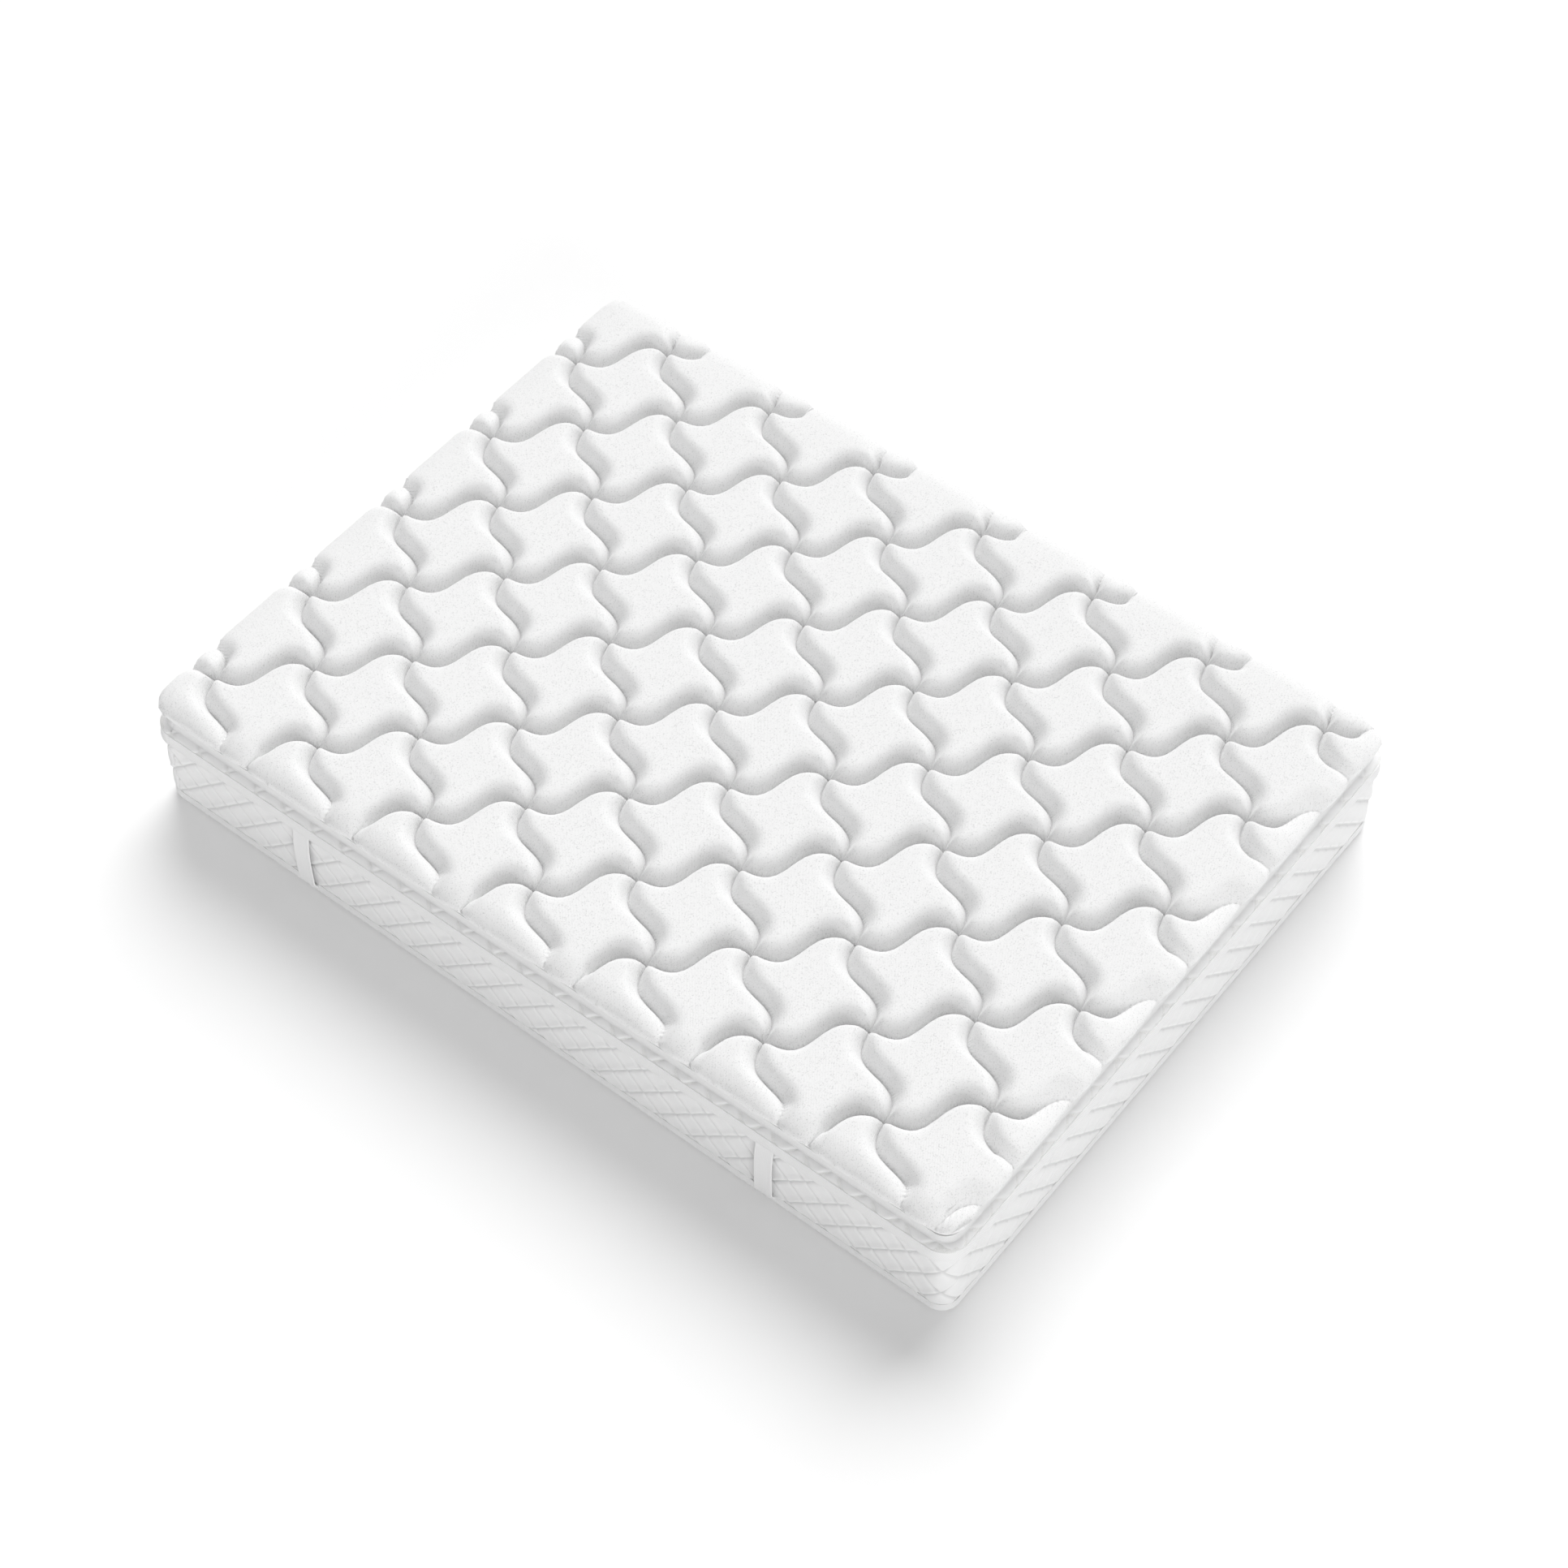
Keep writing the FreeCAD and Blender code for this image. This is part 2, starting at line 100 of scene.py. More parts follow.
# ------------------------------------------------------------------------------ plan outline
@dataclass(frozen=True)
class Outline:
    """The mattress's plan: a rectangle with round corners, at the plumb face of the border."""

    half_x: float
    half_y: float
    radius: float

    @property
    def flat(self) -> np.ndarray:
        """Half the straight stretch of a short side and of a long side."""
        return np.array([self.half_x - self.radius, self.half_y - self.radius])

    @property
    def quarter(self) -> float:
        """The way round one corner."""
        return self.radius * pi / 2

    @property
    def sides(self) -> tuple[float, ...]:
        """The four straight stretches, in the order of the walk."""
        return (2 * float(self.flat[1]), 2 * float(self.flat[0])) * 2

    @property
    def length(self) -> float:
        """The whole way round."""
        return sum(self.sides) + tau * self.radius

    def inset(self, plan: np.ndarray) -> np.ndarray:
        """How far inside the outline each point of the plan lies.

        Args:
            plan: points, one x and y a row.

        Returns:
            The insets, negative outside.
        """
        beyond = np.abs(plan) - self.flat
        round_part = np.linalg.norm(np.maximum(beyond, 0), axis=1)
        return self.radius - round_part - np.minimum(beyond.max(axis=1), 0)

    def outward(self, plan: np.ndarray) -> np.ndarray:
        """The direction straight out of the mattress at each point of the plan.

        Args:
            plan: points, one x and y a row.

        Returns:
            Unit vectors in the plan.
        """
        beyond = np.abs(plan) - self.flat
        corner = np.maximum(beyond, 0)
        nearest = np.where(beyond[:, :1] > beyond[:, 1:], (1.0, 0.0), (0.0, 1.0))
        heading = np.where(corner.max(axis=1)[:, None] <= 0, nearest, corner)
        heading = heading / np.linalg.norm(heading, axis=1)[:, None]
        return heading * np.where(plan < 0, -1.0, 1.0)

    def walk(self, run: np.ndarray) -> tuple[np.ndarray, np.ndarray]:
        """Places on the plumb face, reached by walking round it.

        The walk starts at the head end of the left side and goes towards the foot first.

        Args:
            run: distances walked.

        Returns:
            The plan points, and the outward unit vectors there.
        """
        run = np.clip(np.asarray(run, float), 0, self.length)
        points = np.zeros((len(run), 2))
        outward = np.zeros((len(run), 2))
        start = 0.0
        corners = np.array([(-1, 1), (-1, -1), (1, -1), (1, 1), (-1, 1)]) * self.flat
        for side, length in enumerate(self.sides):
            facing = pi + side * pi / 2
            normal = np.array([cos(facing), sin(facing)])
            ahead = np.array([-normal[1], normal[0]])
            on_side = (run >= start) & (run <= start + length)
            walked = (run[on_side] - start)[:, None]
            points[on_side] = corners[side] + normal * self.radius + ahead * walked
            outward[on_side] = normal
            start += length
            on_corner = (run > start) & (run <= start + self.quarter)
            turn = facing + (run[on_corner] - start) / self.radius
            spoke = np.stack([np.cos(turn), np.sin(turn)], axis=1)
            points[on_corner] = corners[side + 1] + spoke * self.radius
            outward[on_corner] = spoke
            start += self.quarter
        return points, outward

    def stations(self, step: float, corner_steps: int) -> np.ndarray:
        """Distances round the outline at which a swept tape has a section.

        Args:
            step: the longest stretch on a straight side.
            corner_steps: how many stretches each corner has.

        Returns:
            Distances from nought to the whole way round.
        """
        places = [0.0]
        for length in self.sides:
            count = ceil(length / step)
            places.extend(places[-1] + length * (np.arange(count) + 1) / count)
            places.extend(places[-1] + self.quarter * (np.arange(corner_steps) + 1) / corner_steps)
        return np.array(places)


# ------------------------------------------------------------------------------ meshes
def mesh_object(name: str, points: np.ndarray, faces: list[tuple[int, ...]]) -> bpy.types.Object:
    """Make a smooth-shaded mesh and put it in the scene.

    Args:
        name: the piece's name.
        points: one x, y and z a row.
        faces: vertex numbers, counterclockwise seen from outside.

    Returns:
        The new object.
    """
    mesh = bpy.data.meshes.new(name)
    mesh.from_pydata(np.asarray(points, float).tolist(), [], faces)
    mesh.validate()
    mesh.shade_smooth()
    piece = bpy.data.objects.new(name, mesh)
    bpy.context.scene.collection.objects.link(piece)
    return piece


def set_attribute(piece: bpy.types.Object, name: str, values: np.ndarray) -> None:
    """Store a number, or a vector of three, on each vertex for the piece's finish to read.

    Args:
        piece: the mesh object.
        name: the attribute's name.
        values: one number or one vector a vertex.
    """
    vector = values.ndim == 2
    kind = "FLOAT_VECTOR" if vector else "FLOAT"
    attribute = piece.data.attributes.new(name, kind, "POINT")
    field = "vector" if vector else "value"
    attribute.data.foreach_set(field, values.astype(np.float32).ravel())


def distances(line: np.ndarray) -> np.ndarray:
    """How far along a line each of its points lies."""
    return np.append(0.0, np.cumsum(np.linalg.norm(np.diff(line, axis=0), axis=1)))


def square_to(slopes: np.ndarray) -> np.ndarray:
    """Unit vectors square to a section's slopes, outwards where the section rises."""
    ahead = slopes / np.linalg.norm(slopes, axis=1)[:, None]
    return np.column_stack([ahead[:, 1], -ahead[:, 0]])


def line_range(pattern: np.ndarray) -> tuple[np.ndarray, np.ndarray]:
    """The first and the last stitched line of each family round points of a pattern."""
    return np.floor(pattern.min(axis=0)).astype(int), np.ceil(pattern.max(axis=0)).astype(int)


def tube_faces(stops: int, around: int, first: int = 0) -> list[tuple[int, ...]]:
    """The faces of a tube whose points go round each stop in turn.

    Args:
        stops: how many rings the tube has.
        around: how many points each ring has.
        first: the number of the tube's first point.

    Returns:
        The quads along the tube, then the two faces that close its ends.
    """
    faces = []
    for here in range(first, first + (stops - 1) * around, around):
        there = here + around
        for corner in range(around):
            following = (corner + 1) % around
            faces.append((here + corner, here + following, there + following, there + corner))
    last = first + (stops - 1) * around
    faces.append(tuple(range(first, first + around))[::-1])
    faces.append(tuple(range(last, last + around)))
    return faces


def grow_rim(form: bmesh.types.BMesh) -> tuple[list[bmesh.types.BMVert], np.ndarray]:
    """Grow a strip from a form's open edges, for its new corners to be moved.

    Args:
        form: the form.

    Returns:
        The new corners, and where they lie in the plan.
    """
    rim = [edge for edge in form.edges if edge.is_boundary]
    grown = bmesh.ops.extrude_edge_only(form, edges=rim)["geom"]
    corners = [item for item in grown if isinstance(item, bmesh.types.BMVert)]
    return corners, np.array([corner.co[:2] for corner in corners])


def finish_form(form: bmesh.types.BMesh, piece: bpy.types.Object) -> None:
    """Turn a form's faces outwards and write it back to its piece.

    Args:
        form: the form, which is freed.
        piece: the mesh object it came from.
    """
    bmesh.ops.recalc_face_normals(form, faces=form.faces)
    form.to_mesh(piece.data)
    form.free()
    piece.data.shade_smooth()


class PatternMesh:
    """Faces laid out in a stitching pattern's own coordinates, which can be cut along curves."""

    halvings = 24

    def __init__(self, corners: np.ndarray, steps: int) -> None:
        """Lay a grid of quads, with its lines closer together beside each stitched line.

        Args:
            corners: pattern coordinates that the grid goes round.
            steps: how many quads lie between two stitched lines.
        """
        within = (1 - np.cos(pi * np.arange(steps) / steps)) / 2
        lines = [
            np.append((np.arange(first, last)[:, None] + within).ravel(), float(last))
            for first, last in zip(*line_range(corners))
        ]
        grid = np.meshgrid(*lines, indexing="ij")
        self.points = np.stack([part.ravel() for part in grid], axis=1)
        count_a, count_b = len(lines[0]), len(lines[1])
        corner = (np.arange(count_a - 1)[:, None] * count_b + np.arange(count_b - 1)).ravel()
        quads = np.stack([corner, corner + count_b, corner + count_b + 1, corner + 1], axis=1)
        self.faces = [tuple(quad) for quad in quads.tolist()]

    def keep(self, field: Field, level: float) -> None:
        """Drop the faces that lie wholly below a level of a field, and the unused points.

        Args:
            field: gives each point's value from its pattern coordinates.
            level: the value that a face has to reach.
        """
        above = field(self.points) > level
        self.faces = [face for face in self.faces if any(above[corner] for corner in face)]
        self.compact()

    def compact(self) -> None:
        """Drop the points that no face uses, and number the rest afresh."""
        used = sorted({corner for face in self.faces for corner in face})
        renumbered = dict(zip(used, range(len(used))))
        self.points = self.points[used]
        self.faces = [tuple(renumbered[corner] for corner in face) for face in self.faces]

    def split(self, field: Field, level: float, slack: float, trim: bool = False) -> None:
        """Cut the faces along the curve where a field has a level.

        Args:
            field: gives each point's value from its pattern coordinates.
            level: the value along the curve.
            slack: a point this near to the level counts as on the curve.
            trim: whether what lies below the level is thrown away.
        """
        values = field(self.points) - level
        side = np.where(np.abs(values) <= slack, 0, np.sign(values)).astype(int).tolist()
        faces, cut, crossed = [], [], {}
        for face in self.faces:
            sides = [side[corner] for corner in face]
            if not min(sides) < 0 < max(sides):
                if not trim or max(sides) > 0:
                    faces.append(face)
                continue
            cut.append(face)
            for start, end in zip(face, face[1:] + face[:1]):
                if side[start] * side[end] < 0:
                    edge = (min(start, end), max(start, end))
                    crossed.setdefault(edge, len(self.points) + len(crossed))
        if crossed:
            self.points = np.vstack([self.points, self.crossings(list(crossed), field, level)])
        for face in cut:
            upper, lower = [], []
            for start, end in zip(face, face[1:] + face[:1]):
                if side[start] >= 0:
                    upper.append(start)
                if side[start] <= 0:
                    lower.append(start)
                if side[start] * side[end] < 0:
                    middle = crossed[(min(start, end), max(start, end))]
                    upper.append(middle)
                    lower.append(middle)
            faces.append(tuple(upper))
            if not trim:
                faces.append(tuple(lower))
        self.faces = [face for face in faces if len(face) > 2]
        self.compact()

    def crossings(self, edges: list[tuple[int, int]], field: Field, level: float) -> np.ndarray:
        """Find where edges cross a level of a field, by halving.

        Args:
            edges: pairs of points on opposite sides of the level.
            field: gives each point's value from its pattern coordinates.
            level: the value to find.

        Returns:
            The crossing points' pattern coordinates.
        """
        ends = np.array(edges)
        low, high = self.points[ends[:, 0]], self.points[ends[:, 1]]
        flip = (field(low) > field(high))[:, None]
        low, high = np.where(flip, high, low), np.where(flip, low, high)
        for _ in range(self.halvings):
            middle = (low + high) / 2
            below = (field(middle) < level)[:, None]
            low, high = np.where(below, middle, low), np.where(below, high, middle)
        return (low + high) / 2


# ------------------------------------------------------------------------------ finishes
def even(value: float) -> Triple:
    """The same scale along all three axes."""
    return (value, value, value)


def grey(value: float) -> Colour:
    """The same share of red, green and blue."""
    return (value, value, value)


class Surface:
    """A Principled surface and the nodes that colour it and raise its weave."""

    sheen_roughness = 0.5

    def __init__(self, name: str, colour: Colour, roughness: float) -> None:
        """Start a material.

        Args:
            name: the material's name.
            colour: its plain colour.
            roughness: from nought, mirror smooth, to one.
        """
        self.material = bpy.data.materials.new(name)
        self.material.use_nodes = True
        self.tree = self.material.node_tree
        self.shader = self.tree.nodes["Principled BSDF"]
        self.shader.inputs["Base Color"].default_value = (*colour, 1)
        self.shader.inputs["Roughness"].default_value = roughness
        self.height = None

    def sheen(self, weight: float, specular: float) -> None:
        """Set the soft edge light of brushed fibres and the strength of plain highlights.

        Args:
            weight: the edge light.
            specular: the highlights.
        """
        self.shader.inputs["Sheen Weight"].default_value = weight
        self.shader.inputs["Sheen Roughness"].default_value = self.sheen_roughness
        self.shader.inputs["Specular IOR Level"].default_value = specular

    def node(self, kind: str, settings: dict[str, object], **inputs: object) -> bpy.types.Node:
        """Add a node.

        Args:
            kind: the node's Blender type, after the words that all types start with.
            settings: the node's own properties.
            inputs: sockets to link from, or values, for its sockets.

        Returns:
            The new node.
        """
        made = self.tree.nodes.new(f"ShaderNode{kind}")
        for key, value in settings.items():
            setattr(made, key, value)
        for key, value in inputs.items():
            self.feed(made.inputs[key], value)
        return made

    def feed(self, target: Socket, source: object) -> None:
        """Link a socket to another one, or give it a value.

        Args:
            target: the socket to feed.
            source: the other socket, or the value.
        """
        if isinstance(source, Socket):
            self.tree.links.new(source, target)
        else:
            target.default_value = source

    def place(self, scale: Triple = (1, 1, 1)) -> Socket:
        """The point's place in the mattress's frame, scaled along each axis."""
        place = self.node("TexCoord", {}).outputs["Object"]
        return self.node("Mapping", {}, Vector=place, Scale=scale).outputs["Vector"]

    def parts(self, vector: Socket) -> tuple[Socket, Socket, Socket]:
        """A vector's three parts."""
        return tuple(self.node("SeparateXYZ", {}, Vector=vector).outputs)

    def stored(self, name: str, output: str = "Fac") -> Socket:
        """A number that the mesh stores, or its vector for the output named Vector."""
        return self.node("Attribute", {"attribute_name": name}).outputs[output]

    def math(self, operation: str, first: object, second: object = 0.0) -> Socket:
        """One sum, whose terms are sockets or numbers.

        Args:
            operation: the sum's Blender name.
            first: the first term.
            second: the second term, where the sum has one.

        Returns:
            The result.
        """
        made = self.node("Math", {"operation": operation})
        for socket, term in zip(made.inputs, (first, second)):
            self.feed(socket, term)
        return made.outputs[0]

    def add(self, first: object, second: object) -> Socket:
        """Two terms added."""
        return self.math("ADD", first, second)

    def times(self, first: object, second: object) -> Socket:
        """Two terms multiplied."""
        return self.math("MULTIPLY", first, second)

    def ripple(self, run: Socket, pitch: float) -> Socket:
        """A wave along a stored distance, from minus one to one."""
        return self.math("SINE", self.times(run, tau / pitch))

    def noise(self, scale: Triple, detail: float) -> Socket:
        """Cloudy noise over the scaled place, from nought to one."""
        return self.node("TexNoise", {}, Vector=self.place(scale), Scale=1.0, Detail=detail).outputs["Fac"]

    def raise_by(self, height: Socket, distance: float) -> None:
        """Raise the surface by a height of nought to one, over what is raised already.

        Args:
            height: the height's socket.
            distance: how far a height of one stands up.
        """
        bump = self.node("Bump", {}, Strength=1.0, Distance=distance, Height=height)
        if self.height is not None:
            self.feed(bump.inputs["Normal"], self.height)
        self.height = bump.outputs["Normal"]
        self.feed(self.shader.inputs["Normal"], self.height)

    def tint(self, amount: Socket, limits: tuple[float, float], plain: Colour, other: Colour) -> None:
        """Colour the surface from one colour to another as an amount rises.

        Args:
            amount: the socket that chooses.
            limits: the amount below which the colour is plain, and the one above which it is other.
            plain: the first colour.
            other: the second colour.
        """
        ramp = self.node("ValToRGB", {}, Fac=amount)
        for element, limit, colour in zip(ramp.color_ramp.elements, limits, (plain, other)):
            element.position = limit
            element.color = (*colour, 1)
        self.feed(self.shader.inputs["Base Color"], ramp.outputs["Color"])


@dataclass(frozen=True, kw_only=True)
class Finish:
    """What all finishes share: their colours, how rough they are, and how they catch the light."""

    name: str
    colour: Colour
    # The second colour: a darker tone at random in some finishes, painted shade in the hollows of others.
    shade: Colour
    roughness: float
    fuzz: float
    highlight: float

    def make(self) -> bpy.types.Material:
        """Make the material.

        Returns:
            The material.
        """
        surface = Surface(self.name, self.colour, self.roughness)
        surface.sheen(self.fuzz, self.highlight)
        self.work(surface)
        return surface.material

    def work(self, surface: Surface) -> None:
        """Leave the surface plain, unless the finish has its own texture."""


@dataclass(frozen=True, kw_only=True)
class KnitTicking(Finish):
    """The quilted top's soft knit: fine rows, a speckle of open loops, and gathered stitching."""

    cell: float
    name: str = "knit_ticking"
    colour: Colour = grey(0.88)
    shade: Colour = grey(0.7)
    roughness: float = 0.88
    fuzz: float = 0.12
    highlight: float = 0.22
    speckle_grain: Triple = even(430)
    speckle_limits: tuple[float, float] = (0.58, 0.7)
    slant: float = 0.8
    row: float = 2.6 * MM
    loop: float = 1.7 * MM
    row_height: float = 0.22 * MM
    lint_grain: Triple = even(1400)
    stitch: float = 5.2 * MM
    pucker: float = 0.5 * MM
    pucker_reach: float = 5 * MM

    def work(self, surface: Surface) -> None:
        """Knit the rows, open the loops between them and gather the cloth along its seams.

        Args:
            surface: the material being made.
        """
        spots = surface.noise(self.speckle_grain, 1.0)
        surface.tint(spots, self.speckle_limits, self.colour, self.shade)
        across, along, _ = surface.parts(surface.place())
        rows = surface.ripple(surface.add(along, surface.times(across, -self.slant)), self.row)
        loops = surface.ripple(surface.add(across, surface.times(along, self.slant)), self.loop)
        surface.raise_by(surface.add(rows, surface.times(loops, 0.5)), self.row_height / 2)
        surface.raise_by(surface.noise(self.lint_grain, 2.0), self.row_height)
        first, second, _ = surface.parts(surface.stored("pattern", "Vector"))
        tucks = surface.add(self.gather(surface, first, second), self.gather(surface, second, first))
        surface.raise_by(tucks, self.pucker)

    def gather(self, surface: Surface, across: Socket, along: Socket) -> Socket:
        """The small tucks that each stitch draws into the cloth beside one family of lines.

        Args:
            surface: the material being made.
            across: the pattern coordinate that is whole on these lines.
            along: the pattern coordinate that runs along them.

        Returns:
            A height that fades away from the line.
        """
        offset = surface.math("SUBTRACT", surface.math("FRACT", surface.add(across, 0.5)), 0.5)
        near = surface.times(surface.math("ABSOLUTE", offset), -self.cell / self.pucker_reach)
        run = surface.times(along, self.cell)
        return surface.times(surface.ripple(run, self.stitch), surface.math("EXPONENT", near))


@dataclass(frozen=True, kw_only=True)
class QuiltedCloth(Finish):
    """The border and gusset cloth: a smooth close weave, with shade painted darker into the grooves along
    its stitching.
    """

    name: str = "quilted_border_cloth"
    colour: Colour = grey(0.89)
    # Painted shade colour for the stitched grooves.
    shade: Colour = grey(0.72)
    roughness: float = 0.75
    fuzz: float = 0.1
    highlight: float = 0.3
    groove_shade_limits: tuple[float, float] = (0.3, 0.9)
    thread: float = 1.1 * MM
    thread_height: float = 0.1 * MM

    def work(self, surface: Surface) -> None:
        """Weave the cloth and paint shade into the grooves of its seams.

        Args:
            surface: the material being made.
        """
        # Painted shade: the colour darkens down into each stitched groove, darkest on the stitched line.
        surface.tint(surface.stored("seam_shade"), self.groove_shade_limits, self.colour, self.shade)
        warp = surface.ripple(surface.stored("run"), self.thread)
        weft = surface.ripple(surface.stored("rise"), self.thread)
        surface.raise_by(surface.times(warp, weft), self.thread_height)


@dataclass(frozen=True, kw_only=True)
class RibbedTape(Finish):
    """Woven binding tape with fine slanting ribs across it."""

    name: str = "ribbed_tape"
    colour: Colour = grey(0.96)
    # Painted shade colour for the hollows between the ribs.
    shade: Colour = grey(0.84)
    roughness: float = 0.6
    fuzz: float = 0.08
    highlight: float = 0.35
    slant: float = 0.6
    rib: float = 2.4 * MM
    rib_height: float = 0.35 * MM

    def work(self, surface: Surface) -> None:
        """Weave the ribs, paint shade into the hollows between them and lay three threads on each rib's
        width.

        Args:
            surface: the material being made.
        """
        run, rise = surface.stored("run"), surface.stored("rise")
        ribs = surface.ripple(surface.add(run, surface.times(rise, self.slant)), self.rib)
        # Painted shade: darker colour in the hollows between the raised ribs.
        surface.tint(surface.times(ribs, -0.5), (0.0, 0.5), self.colour, self.shade)
        surface.raise_by(ribs, self.rib_height / 2)
        surface.raise_by(surface.ripple(rise, self.rib / 3), self.rib_height / 5)


@dataclass(frozen=True, kw_only=True)
class Webbing(Finish):
    """Handle webbing: a close twill over firm cords."""

    name: str = "handle_webbing"
    colour: Colour = grey(0.93)
    # Painted shade colour for the hollows of the weave.
    shade: Colour = grey(0.84)
    roughness: float = 0.65
    fuzz: float = 0.08
    highlight: float = 0.35
    thread: float = 1.8 * MM
    thread_height: float = 0.25 * MM
    cord: float = 2.7 * MM
    cord_share: float = 0.6

    def work(self, surface: Surface) -> None:
        """Weave the twill and its cords, and paint shade into the hollows between them.

        Args:
            surface: the material being made.
        """
        run, across = surface.stored("run"), surface.stored("rise")
        twill = surface.ripple(surface.add(run, across), self.thread)
        cords = surface.ripple(across, self.cord)
        weave = surface.add(twill, surface.times(cords, self.cord_share))
        # Painted shade: darker colour where the weave sinks between twill and cords.
        surface.tint(surface.times(weave, -0.4), (0.0, 0.6), self.colour, self.shade)
        surface.raise_by(weave, self.thread_height / 2)


@dataclass(frozen=True, kw_only=True)
class FlatCloth(Finish):
    """A plain cloth laid flat or stretched, such as the base cloth, a scrim or the sleeve."""

    thread: float
    thread_height: float
    roughness: float = 0.85
    fuzz: float = 0.1
    highlight: float = 0.25
    cloud_grain: Triple = even(90)
    cloud_limits: tuple[float, float] = (0.4, 0.75)

    def work(self, surface: Surface) -> None:
        """Weave the cloth, flat or upright, and let its colour drift.

        Args:
            surface: the material being made.
        """
        cloud = surface.noise(self.cloud_grain, 4.0)
        surface.tint(cloud, self.cloud_limits, self.colour, self.shade)
        warp, weft, upright = (
            surface.ripple(part, self.thread) for part in surface.parts(surface.place())
        )
        surface.raise_by(surface.add(surface.times(warp, weft), upright), self.thread_height)


@dataclass(frozen=True, kw_only=True)
class OpenCellFoam(Finish):
    """A foam block: an even colour and a fine open-cell surface, with shade painted darker into its pores.
    """

    cell: float
    roughness: float = 0.95
    fuzz: float = 0.05
    highlight: float = 0.2
    drift_grain: Triple = even(40)
    drift_height: float = 0.6 * MM

    def work(self, surface: Surface) -> None:
        """Open the cells, and let the cut face drift a little.

        Args:
            surface: the material being made.
        """
        place = surface.place(even(1 / self.cell))
        cells = surface.node("TexVoronoi", {"feature": "F1"}, Vector=place, Scale=1.0)
        depth = cells.outputs["Distance"]
        # Painted shade: the colour darkens towards the bottom of each pore.
        surface.tint(depth, (0.1, 0.9), self.shade, self.colour)
        surface.raise_by(depth, self.cell / 3)
        surface.raise_by(surface.noise(self.drift_grain, 4.0), self.drift_height)


@dataclass(frozen=True, kw_only=True)
class LooseFibre(Finish):
    """Polyester wadding: a pale fluff of crossing fibres."""

    name: str = "fibre_wadding"
    colour: Colour = (0.93, 0.93, 0.92)
    # Painted shade colour for the hollows between the fibres.
    shade: Colour = (0.8, 0.8, 0.79)
    roughness: float = 1.0
    fuzz: float = 0.4
    highlight: float = 0.1
    fibre_grain: Triple = (300, 900, 500)
    loft: float = 1.5 * MM

    def work(self, surface: Surface) -> None:
        """Cross the fibres and paint shade in the hollows between them.

        Args:
            surface: the material being made.
        """
        fibres = surface.noise(self.fibre_grain, 6.0)
        # Painted shade: the fibre noise that raises the fluff also darkens it where it sinks.
        surface.tint(fibres, (0.35, 0.7), self.shade, self.colour)
        surface.raise_by(fibres, self.loft)


def dress(piece: bpy.types.Object, material: bpy.types.Material) -> None:
    """Give a piece one material.

    Args:
        piece: the mesh object.
        material: its only material.
    """
    piece.data.materials.clear()
    piece.data.materials.append(material)


def report(piece: bpy.types.Object) -> None:
    """Log a finished piece and how many faces it has."""
    LOG.info("built %s, %d faces", piece.name, len(piece.data.polygons))


def fit(
    piece: bpy.types.Object,
    material: bpy.types.Material,
    slot: Slot,
    *nodes: str,
    fill: float | None = None,
) -> None:
    """Dress a piece of the cover and fix it to the mattress's body.

    Args:
        piece: the mesh object.
        material: its only material.
        slot: the record's slot; not used.
        nodes: the frame's nodes that it replaces.
        fill: how full of padding it is, where it is padded; not used.
    """
    dress(piece, material)
    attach(piece, ROOT)
    if nodes:
        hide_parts(*nodes)
    report(piece)


# ------------------------------------------------------------------------------ quilted top
@dataclass(frozen=True)
class PinwheelPattern:
    """The top's quilting: two crossing families of wavy lines, which leave four-lobed puffs.

    The lines run diagonally. Pattern coordinates are whole numbers on them.
    """

    pitch: float = 189.05 * MM
    node_x: float = 492.7 * MM
    node_y: float = 891.2 * MM
    sway: float = 0.11
    rounds: int = 40

    @property
    def axes(self) -> np.ndarray:
        """The two diagonal directions, one a row."""
        return np.array([[1.0, -1.0], [-1.0, -1.0]]) / 2**0.5

    def plan(self, pattern: np.ndarray) -> np.ndarray:
        """Where points of the pattern lie in the mattress's plan.

        Args:
            pattern: pattern coordinates, one pair a row.

        Returns:
            One x and y a row.
        """
        straight = pattern.copy()
        for _ in range(self.rounds):
            wave = self.sway * np.sin(tau * straight[:, ::-1])
            straight = pattern + wave * (-1, 1)
        return (self.node_x, self.node_y) + self.pitch * straight @ self.axes

    def coordinates(self, plan: np.ndarray) -> np.ndarray:
        """The pattern coordinates of points of the plan, one pair a row."""
        straight = (plan - (self.node_x, self.node_y)) @ self.axes.T / self.pitch
        return straight + self.sway * np.sin(tau * straight[:, ::-1]) * (1, -1)


